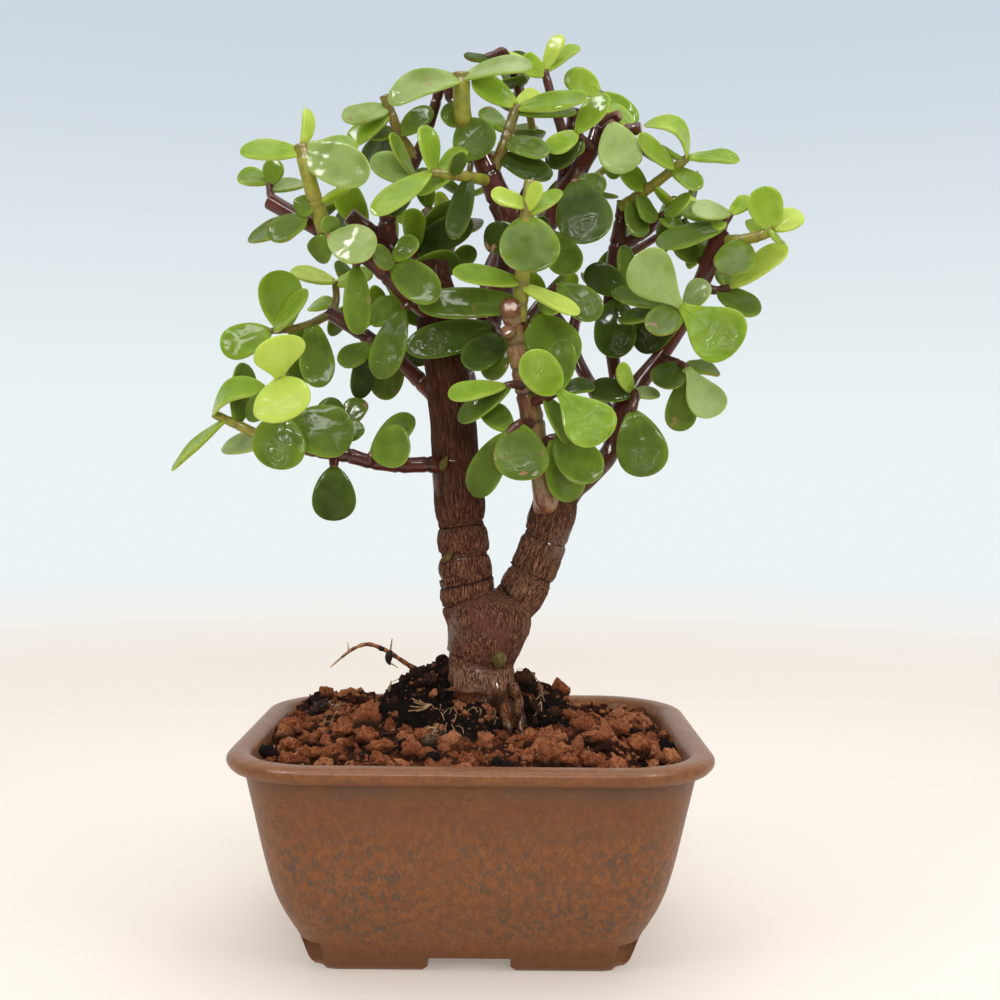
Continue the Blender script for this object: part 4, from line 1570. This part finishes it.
def straw_lines(surface, random):
    """Lines of fine straws that lie over the stones and arch between them, and of the pale tuft."""
    def height_at(spot):
        hit = surface.ray_cast(Vector(in_metres([*spot, HIGH_ABOVE])), Vector((0, 0, -1)))[0]
        return None if hit is None else in_mm(hit)[2]

    paths = []
    for x, z, count, spread, length, radius in STRAWS:
        middle = met_by_sight(surface, x, z)[:2]
        for _ in range(count):
            spot = middle + random.uniform(-spread, spread, 2)
            bearing = random.uniform(0, 2 * math.pi)
            half = np.array([math.cos(bearing), math.sin(bearing)]) * length * random.uniform(0.25, 0.5)
            bent = spot + random.uniform(-0.16, 0.16, 2) * length
            heights = [height_at(place) for place in (spot - half, bent, spot + half)]
            if None not in heights:
                top = max(heights[1], (heights[0] + heights[2]) / 2) + random.uniform(0.2, 1.2)
                start = (*(spot - half), heights[0])
                end = (*(spot + half), heights[2])
                paths.append(([start, (*bent, top), end], radius))
    for end in TUFT_ENDS:
        middle = (np.array(TUFT_START) + end) / 2 + (0, -0.5, random.uniform(0.2, 0.9))
        paths.append(([seen(*TUFT_START), seen(*middle), seen(*end)], HAIR_RADIUS))
    return [tube_lines(Route(points), Route([[radius]] * 3), 0, STEM_STEP) for points, radius in paths]


def rounded_ring(z, half_width, half_depth, radius, steps, x=0.0, y=0.0, ends=1):
    """A level ring with rounded corners, in metres. With no ends, its corners meet in a circle."""
    ring = []
    for corner, (sign_x, sign_y) in enumerate(((1, 1), (-1, 1), (-1, -1), (1, -1))):
        for step in range(steps + ends):
            angle = (corner + step / steps) * math.pi / 2
            ring.append((x + sign_x * (half_width - radius) + radius * math.cos(angle),
                         y + sign_y * (half_depth - radius) + radius * math.sin(angle), z))
    return [tuple(in_metres(point)) for point in ring]


def pot_ring(z, inset):
    """A ring of the pot, in metres, set in from the rim's widest line."""
    half_width = (POT_HIGH.x - POT_LOW.x) / 2 / MM - inset
    half_depth = (POT_HIGH.y - POT_LOW.y) / 2 / MM - inset
    radius = RIM_CORNER_RADIUS - CORNER_TIGHTENING * inset
    return rounded_ring(z, half_width, half_depth, radius, RIM_CORNER_STEPS)


def loft_mesh(name, rings):
    """A closed skin through rings of equal length."""
    count = len(rings[0])
    points = [point for ring in rings for point in ring]
    faces = []
    for low in range(0, (len(rings) - 1) * count, count):
        for i in range(count):
            after = (i + 1) % count
            faces.append((low + i, low + after, low + count + after, low + count + i))
    faces.append(tuple(reversed(range(count))))
    faces.append(tuple(range(len(points) - count, len(points))))
    return mesh_of(name, points, faces=faces)


def smoothed(profile, steps):
    """More points on a smooth line through a profile of heights and insets."""
    line = Route(profile)
    count = (len(profile) - 1) * steps
    return [tuple(line.at(i / count)) for i in range(count + 1)]


def cutter(name, width, depth, low, high, x=0.0, y=0.0, radius=None, flare=0.0):
    """A block or an upright cylinder, in millimetres, to cut the pot's feet and holes with. A flare
    rounds the edges that it leaves at the foot."""
    levels = [(low, flare)]
    if flare:
        turns = [quarter * math.pi / 8 for quarter in range(5)]
        levels += [(flare * math.sin(turn), flare * (1 - math.cos(math.pi / 2 - turn)))
                   for turn in turns]
    levels.append((high, 0.0))
    corner, steps, ends = (SHARP_CORNER, 8, 1) if radius is None else (radius, 12, 0)
    rings = [rounded_ring(z, width / 2 + extra, depth / 2 + extra, corner, steps, x, y, ends)
             for z, extra in levels]
    return linked_object(name, loft_mesh(name, rings))


def floor_finish(look):
    """Plain pale floor that fades into the pale background far from the pot."""
    f = Finish("pale_floor")
    f.colour = f.blend(f.noise(f.place, 60.0, 3.0) * 0.06, look.floor, (0.7, 0.7, 0.7))
    away = f.length(f.place)
    far = f.band(away, 0.15, 0.9, 0.25, 1.0)
    tint = f.blend(f.band(away, 0.3, 1.3), look.floor_light, look.horizon)
    glow = f.node("ShaderNodeEmission", [tint]).outputs[0]
    output = next(n for n in f.tree.nodes if n.type == "OUTPUT_MATERIAL")
    shown = f.node("ShaderNodeMixShader", [far, f.shader.outputs[0], glow])
    f.feed(output.inputs["Surface"], shown.outputs[0])
    return f.made(Roughness=0.6, Specular_IOR_Level=0.2)


def studio_world(look):
    """Soft light that comes mostly from the pale background, which darkens a little upwards."""
    world = bpy.data.worlds.new("studio")
    world.use_nodes = True
    g = Graph(world.node_tree)
    _, back, rise = g.split(g.node("ShaderNodeTexCoord").outputs["Generated"])
    tint = g.blend(g.band(rise, 0.0, 0.36), look.horizon, look.sky)
    shown = g.node("ShaderNodeBackground", [tint])
    strength = g.band(back, -0.45, 0.5, look.front_light, look.back_light)
    soft = g.node("ShaderNodeBackground", [(1, 0.99, 0.97, 1), strength])
    seen_by_camera = g.node("ShaderNodeLightPath").outputs["Is Camera Ray"]
    both = g.node("ShaderNodeMixShader", [seen_by_camera, soft.outputs[0], shown.outputs[0]])
    output = next(n for n in g.tree.nodes if n.type == "OUTPUT_WORLD")
    g.feed(output.inputs["Surface"], both.outputs[0])
    return world


def with_colours(**colours):
    """Gives a class of looks a property for each of these colours."""
    def add(look):
        for name, colour in colours.items():
            label = name.replace("_", " ").capitalize()
            look.__annotations__[name] = bpy.props.FloatVectorProperty(
                name=label, description=label + " colour", default=colour, size=3, min=0, max=1,
                subtype="COLOR")
        return look
    return add


def number_property(name, description, default, **settings):
    return bpy.props.FloatProperty(name=name, description=description, default=default, **settings)


def length_property(name, description, default):
    """A length that is given in millimetres and kept in metres."""
    return number_property(name, description, default * MM, precision=4, unit="LENGTH")


@with_colours(
    glaze=(0.175, 0.064, 0.021), glaze_light=(0.23, 0.087, 0.027), glaze_dark=(0.12, 0.046, 0.02),
    glaze_grey=(0.095, 0.06, 0.04), glaze_edge=(0.26, 0.125, 0.07), pit=(0.012, 0.009, 0.008),
    bare_clay=(0.2, 0.1, 0.06))
class PotLook(bpy.types.PropertyGroup):
    """Sizes and colours of the pot."""
    foot_gap_width: length_property("Foot gap", "Width of the gap between the front feet", 22)
    foot_gap_height: length_property("Foot gap height", "Height of the gaps between the feet", 4)
    drain_hole: length_property("Drain hole", "Radius of each drain hole", 5.5)
    roughness: number_property("Roughness", "How dull the glaze is", 0.42)


@with_colours(
    clay_dark=(0.1, 0.026, 0.012), clay=(0.52, 0.155, 0.058), clay_light=(0.74, 0.29, 0.125),
    soil_dark=(0.01, 0.006, 0.004), soil=(0.05, 0.02, 0.011), soil_light=(0.17, 0.065, 0.032),
    dark_stone=(0.02, 0.014, 0.014), grey_stone=(0.16, 0.105, 0.07), tan_stone=(0.4, 0.25, 0.14),
    brown_stone=(0.14, 0.06, 0.035), seed=(0.5, 0.52, 0.12), straw=(0.55, 0.36, 0.18),
    straw_dark=(0.26, 0.13, 0.06))
class SoilLook(bpy.types.PropertyGroup):
    """Sizes and colours of the fired clay and the dark soil."""
    smallest: length_property("Smallest grain", "Radius of the smallest fired clay grain", 1.7)
    biggest: length_property("Biggest grain", "Radius of the biggest fired clay grain", 4.1)
    spacing: length_property("Spacing", "Least distance between fired clay grains", 4.2)
    crumb_spacing: length_property("Crumb spacing", "Least distance between crumbs", 1.7)


@with_colours(
    bark=(0.07, 0.02, 0.009), bark_red=(0.15, 0.042, 0.022), bark_light=(0.25, 0.095, 0.052),
    bark_dark=(0.016, 0.006, 0.004), bark_tan=(0.44, 0.23, 0.125), bark_deep=(0.05, 0.012, 0.004),
    bark_olive=(0.15, 0.085, 0.03), bark_plum=(0.25, 0.085, 0.075), root_bark=(0.34, 0.11, 0.036),
    root_pale=(0.52, 0.32, 0.17), root_tip=(0.42, 0.24, 0.11), twig=(0.04, 0.008, 0.006),
    twig_light=(0.12, 0.025, 0.015), skin=(0.2, 0.13, 0.035), skin_light=(0.3, 0.19, 0.08),
    skin_red=(0.2, 0.06, 0.028), bud=(0.13, 0.13, 0.03), green_stem=(0.15, 0.16, 0.012),
    green_stem_light=(0.32, 0.31, 0.03), stem_blush=(0.24, 0.11, 0.03), scar=(0.1, 0.045, 0.02),
    cut=(0.2, 0.07, 0.035), cut_light=(0.38, 0.19, 0.09), cut_rim=(0.08, 0.03, 0.015))
class WoodLook(bpy.types.PropertyGroup):
    """Sizes and colours of trunk, limbs and twigs."""
    furrow_depth: length_property("Furrow depth", "How deep the bark's furrows are on the trunk", 1.1)
    ring_depth: length_property("Ring depth", "How deep the lines of the rings are cut", 0.32)


@with_colours(
    old=(0.03, 0.05, 0.006), grown=(0.085, 0.135, 0.014), bright=(0.2, 0.32, 0.02),
    young=(0.45, 0.57, 0.08), dusty=(0.42, 0.5, 0.24), under=(0.27, 0.42, 0.02), rim=(0.4, 0.48, 0.12),
    red_rim=(0.3, 0.08, 0.03), speck=(0.05, 0.035, 0.015), scar=(0.3, 0.17, 0.09))
class LeafLook(bpy.types.PropertyGroup):
    """Sizes and colours of the leaves."""
    thickness: length_property("Thickness", "Thickness of a grown leaf", 1.8)
    rows: bpy.props.IntProperty(name="Rows", description="Rows of faces along a leaf", default=16)
    around: bpy.props.IntProperty(name="Around", description="Faces round a leaf", default=24)
    roughness: number_property("Roughness", "How dull a dry leaf is", 0.3)
    wetness: number_property("Wetness", "How strong the wet shine is", 1.0)


@with_colours(
    floor=(0.93, 0.86, 0.79), horizon=(0.84, 0.9, 0.91), floor_light=(0.95, 0.86, 0.77),
    sky=(0.61, 0.68, 0.753))
class StageLook(bpy.types.PropertyGroup):
    """The floor, the lights and the camera."""
    floor_size: length_property("Floor", "Width of the floor", 3000)
    camera_x: length_property("Camera x", "Camera to the right of the pot's middle", 7.2)
    camera_distance: length_property("Camera distance", "Camera in front of the pot's middle", 362.4)
    camera_height: length_property("Camera height", "Camera above the floor", 133.5)
    camera_pitch: number_property(
        "Pitch", "How far the camera looks down", math.radians(1.36), subtype="ANGLE")
    camera_roll: number_property("Roll", "How far the camera leans", math.radians(0.48), subtype="ANGLE")
    lens: number_property("Lens", "Focal length in millimetres", 45.0)
    front_light: number_property("Front light", "Soft light from the front", 0.16)
    back_light: number_property("Back light", "Soft light from behind", 0.85)


class BONSAI_OT_pot(bpy.types.Operator):
    """Makes the glazed pot with its lip, feet and drain holes"""
    bl_idname = "bonsai.pot"
    bl_label = "Glazed Pot"

    def execute(self, context):
        look = context.scene.bonsai_pot
        profile = [*smoothed(OUTER_WALL, 3), *smoothed(LIP, 4), *smoothed(INNER_WALL, 2)]
        rings = [pot_ring(z, inset) for z, inset in profile]
        body = linked_object("pot_body", loft_mesh("pot_body", rings))
        gap = look.foot_gap_width / MM
        height = look.foot_gap_height / MM
        hole = look.drain_hole / MM
        cuts = [
            cutter("recess", RECESS_WIDTH, RECESS_DEPTH, BELOW_FOOT, RECESS_HEIGHT),
            cutter("front_gap", gap, FRONT_GAP_LENGTH, BELOW_FOOT, height, flare=GAP_FLARE),
            cutter("side_gap", SIDE_GAP_LENGTH, SIDE_GAP_WIDTH, BELOW_FOOT, height, flare=GAP_FLARE),
        ]
        notch = 2 * NOTCH_RADIUS
        for side in (-1, 1):
            cuts.append(cutter("drain", 2 * hole, 2 * hole, *THROUGH_FLOOR, side * DRAIN_X, 0, hole))
            for end in (-1, 1):
                cuts.append(cutter("notch", notch, notch, *THROUGH_FLOOR, side * NOTCH_X, end * NOTCH_Y,
                                   NOTCH_RADIUS))
        for cut in cuts:
            step = body.modifiers.new(cut.name, "BOOLEAN")
            step.operation = "DIFFERENCE"
            step.solver = "MANIFOLD"
            step.object = cut
        mesh = worked_out("glazed_pot", body)
        for cut in cuts:
            bpy.data.objects.remove(cut)
        mesh.materials.clear()
        mesh.materials.append(glaze_finish(look))
        mesh.shade_smooth()
        mesh.set_sharp_from_angle(angle=SHARPEST)
        piece("glazed_pot", mesh, "pot_glaze", "pot")
        return {"FINISHED"}


class BONSAI_OT_screens(bpy.types.Operator):
    """Gives the nets over the drain holes their finish"""
    bl_idname = "bonsai.screens"
    bl_label = "Drain Nets"

    def execute(self, context):
        finish = net_finish()
        for name in ("drain_screen_left", "drain_screen_right"):
            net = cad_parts[name]
            net.data.materials.clear()
            net.data.materials.append(finish)
        return {"FINISHED"}


class BONSAI_OT_soil(bpy.types.Operator):
    """Covers the bed with fired clay grains and the root ball with crumbs of dark soil"""
    bl_idname = "bonsai.soil"
    bl_label = "Soil"

    def execute(self, context):
        look = context.scene.bonsai_soil
        recipe = rubble_recipe()
        clay = crumb_finish(
            "fired_clay", look, (look.clay_dark, look.clay, look.clay_light),
            (look.dark_stone, look.dark_stone), ODD_CLAY)
        dark = crumb_finish(
            "dark_soil", look, (look.soil_dark, look.soil, look.soil_light),
            (look.clay_dark, look.clay_light), ODD_SOIL)
        bed = merged_copy("clay_granules")
        heap_up(bed)
        ball = merged_copy("root_ball_soil")
        skirt = skirt_mesh()
        stones = bpy.data.objects.new("chosen_stones", stones_mesh(surface_of([bed, ball, skirt])))
        none = bpy.data.objects.new("no_stones", bpy.data.meshes.new("no_stones"))
        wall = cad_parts["pot"]
        grains = grown("clay_grains", bed, recipe, {
            **CLAY_BED, "Wall": wall, "Chosen stones": stones, "Big spacing": look.spacing,
            "Big least": look.smallest, "Big most": look.biggest, "Small spacing": look.crumb_spacing,
            "Bed finish": clay, "Stone finish": clay})
        crumbs = grown("soil_crumbs", joined_mesh("soil_ball", [ball, skirt]), recipe, {
            **SOIL_BED, "Wall": wall, "Chosen stones": none, "Bed finish": dark, "Stone finish": dark})
        lines = straw_lines(surface_of([grains, crumbs]), np.random.default_rng(STRAW_SEED))
        fibres = grown("fibres", lines_as_mesh("fibres", lines), limb_recipe(), {
            "Sides": 5, "Furrow depth": 0.0, "Ring depth": 0.0, "Finish": fibre_finish(look)})
        piece("clay_grains", grains, "fired_clay", "clay_granules")
        piece("soil_crumbs", joined_mesh("soil_crumbs", [crumbs, fibres]), "dark_soil", "root_ball_soil")
        for spare in (stones, none):
            bpy.data.objects.remove(spare)
        return {"FINISHED"}


class BONSAI_OT_wood(bpy.types.Operator):
    """Grows the trunk, its cut limbs and twigs, and the arching root"""
    bl_idname = "bonsai.wood"
    bl_label = "Wood"

    def execute(self, context):
        look = context.scene.bonsai_wood
        recipe = limb_recipe()
        kinds = {number: WOOD_KINDS[LIMB_KINDS.get(number, "crimson")] for number in range(len(LIMBS))}
        thick = []
        for number, rings in enumerate(LIMB_RINGS):
            path = LIMBS[number] if number else TRUNK_FOOT + LIMBS[0][len(TRUNK_FOOT):]
            thick.append(path_lines(path, number, LIMB_STEP, kind=kinds[number], rings=rings))
        thin = []
        for number in range(len(LIMB_RINGS), len(LIMBS)):
            path = LIMBS[number]
            thin.append(path_lines(path, number, TWIG_STEP, kind=kinds[number],
                                   ring_shares=joint_shares(path), ring_depth=0.1))
        small = [path_lines(path, number, FINE_STEP, kind=WOOD_KINDS[kind])
                 for number, (kind, path) in enumerate(WOOD_DETAILS, len(LIMBS))]
        small += [path_lines(path, number, FINE_STEP)
                  for number, path in enumerate(FLARING_ROOTS, FIRST_FLARE)]
        inputs = {"Furrow depth": look.furrow_depth, "Ring depth": look.ring_depth,
                  "Finish": bark_finish(look)}
        parts = [grown(name, lines_as_mesh(name, lines), recipe, {**inputs, "Sides": sides})
                 for name, lines, sides in (
                     ("thick_limbs", thick, 80), ("thin_limbs", thin, 18), ("wood_details", small, 20))]
        piece("wood_and_bark", joined_mesh("wood_and_bark", parts), "bark", "trunk")
        wiry = [path_lines(path, number, FINE_STEP, ring_shares=joint_shares(path), ring_depth=0.12)
                for number, path in enumerate([ARCHING_ROOT, *ROOT_HAIRS], FIRST_ROOT)]
        wiry += [path_lines(path, CLOD_NUMBER, CLOD_STEP, kind=WOOD_KINDS["crimson"])
                 for path in ROOT_CLODS]
        root = grown("wiry_root", lines_as_mesh("root_lines", wiry), recipe, {
            "Furrow depth": look.furrow_depth, "Ring depth": 0.0, "Finish": root_finish(look),
            "Sides": 9})
        piece("wiry_root", root, "root", "arching_root")
        return {"FINISHED"}


class BONSAI_OT_shoots(bpy.types.Operator):
    """Grows every leafy shoot: its stem and its leaves"""
    bl_idname = "bonsai.shoots"
    bl_label = "Leafy Shoots"

    def execute(self, context):
        look = context.scene.bonsai_leaf
        stem = stem_finish(context.scene.bonsai_wood)
        recipe = shoot_recipe()
        blank = leaf_blank(look.rows, look.around)
        inputs = {"Leaf blank": blank, "Thickness": look.thickness, "Cup": LEAF_CUP, "Stem sides": 14,
                  "Leaf finish": leaf_finish(look), "Stem finish": stem}
        random = np.random.default_rng(LEAF_SEED)
        for number, placed in enumerate(place_leaves(), 1):
            name = f"shoot_{number:02d}_foliage"
            mesh = grown(name, shoot_mesh(number, moved(placed, number), random), recipe, inputs)
            old_or_grown = "old_leaf" if number in OLD_SHOOTS else "leaf"
            slot = "young_leaf" if number in YOUNG_SHOOTS else old_or_grown
            piece(name, mesh, slot, f"leafy_shoot_{number:02d}")
        bpy.data.objects.remove(blank)
        return {"FINISHED"}


class BONSAI_OT_stage(bpy.types.Operator):
    """Sets the pale floor, the soft lights and the camera"""
    bl_idname = "bonsai.stage"
    bl_label = "Stage"

    def execute(self, context):
        look = context.scene.bonsai_stage
        scene = context.scene
        half = look.floor_size / 2
        corners = [(x * half, y * half, FLOOR_HEIGHT) for x, y in ((-1, -1), (1, -1), (1, 1), (-1, 1))]
        mesh = mesh_of("floor", corners, faces=[(0, 1, 2, 3)])
        mesh.materials.append(floor_finish(look))
        floor = linked_object("floor", mesh)
        scene.world = studio_world(look)

        foot = Vector(POT_MIDDLE)
        middle = foot + Vector((0, 0, LAMPS_AIM))
        for name, place, width, height, power, shown_by in LIGHTS:
            light = bpy.data.lights.new(name, "AREA")
            light.shape = "RECTANGLE"
            light.size = width
            light.size_y = height
            light.energy = power
            lamp = linked_object(name, light)
            lamp.location = foot + Vector(place)
            lamp.rotation_euler = (middle - lamp.location).to_track_quat("-Z", "Y").to_euler()
            lamp.visible_diffuse = shown_by != "gloss"
            lamp.visible_glossy = shown_by != "diffuse"
            lamp.visible_camera = False

        lens = bpy.data.cameras.new("camera")
        lens.sensor_width = 36
        lens.lens = look.lens
        lens.clip_start = 0.01
        camera = linked_object("camera", lens)
        camera.location = foot + Vector((look.camera_x, -look.camera_distance, look.camera_height))
        pitch = Matrix.Rotation(math.pi / 2 - look.camera_pitch, 3, "X")
        camera.rotation_euler = (pitch @ Matrix.Rotation(look.camera_roll, 3, "Z")).to_euler()
        scene.camera = camera
        scene.view_settings.view_transform = "Standard"
        return {"FINISHED"}


class BONSAI_PT_panel(bpy.types.Panel):
    """Lists the pieces of the bonsai"""
    bl_idname = "BONSAI_PT_panel"
    bl_label = "Dwarf Jade Bonsai"
    bl_space_type = "VIEW_3D"
    bl_region_type = "UI"
    bl_category = "Bonsai"

    def draw(self, context):
        for operator in OPERATORS:
            self.layout.operator(operator.bl_idname)


OPERATORS = (
    BONSAI_OT_pot, BONSAI_OT_screens, BONSAI_OT_soil, BONSAI_OT_wood, BONSAI_OT_shoots, BONSAI_OT_stage)
LOOKS = {
    "bonsai_pot": PotLook, "bonsai_soil": SoilLook, "bonsai_wood": WoodLook, "bonsai_leaf": LeafLook,
    "bonsai_stage": StageLook,
}


def register():
    for look in LOOKS.values():
        bpy.utils.register_class(look)
    for operator in OPERATORS:
        bpy.utils.register_class(operator)
    bpy.utils.register_class(BONSAI_PT_panel)
    for name, look in LOOKS.items():
        setattr(bpy.types.Scene, name, bpy.props.PointerProperty(type=look))


def unregister():
    for name in LOOKS:
        delattr(bpy.types.Scene, name)
    bpy.utils.unregister_class(BONSAI_PT_panel)
    for operator in reversed(OPERATORS):
        bpy.utils.unregister_class(operator)
    for look in LOOKS.values():
        bpy.utils.unregister_class(look)


def main():
    """Makes the whole bonsai and notes its size against the solids'."""
    register()
    bpy.ops.bonsai.pot()
    bpy.ops.bonsai.screens()
    bpy.ops.bonsai.soil()
    bpy.ops.bonsai.wood()
    bpy.ops.bonsai.shoots()
    bpy.ops.bonsai.stage()
    bpy.context.view_layer.update()


if __name__ == "__main__":
    main()
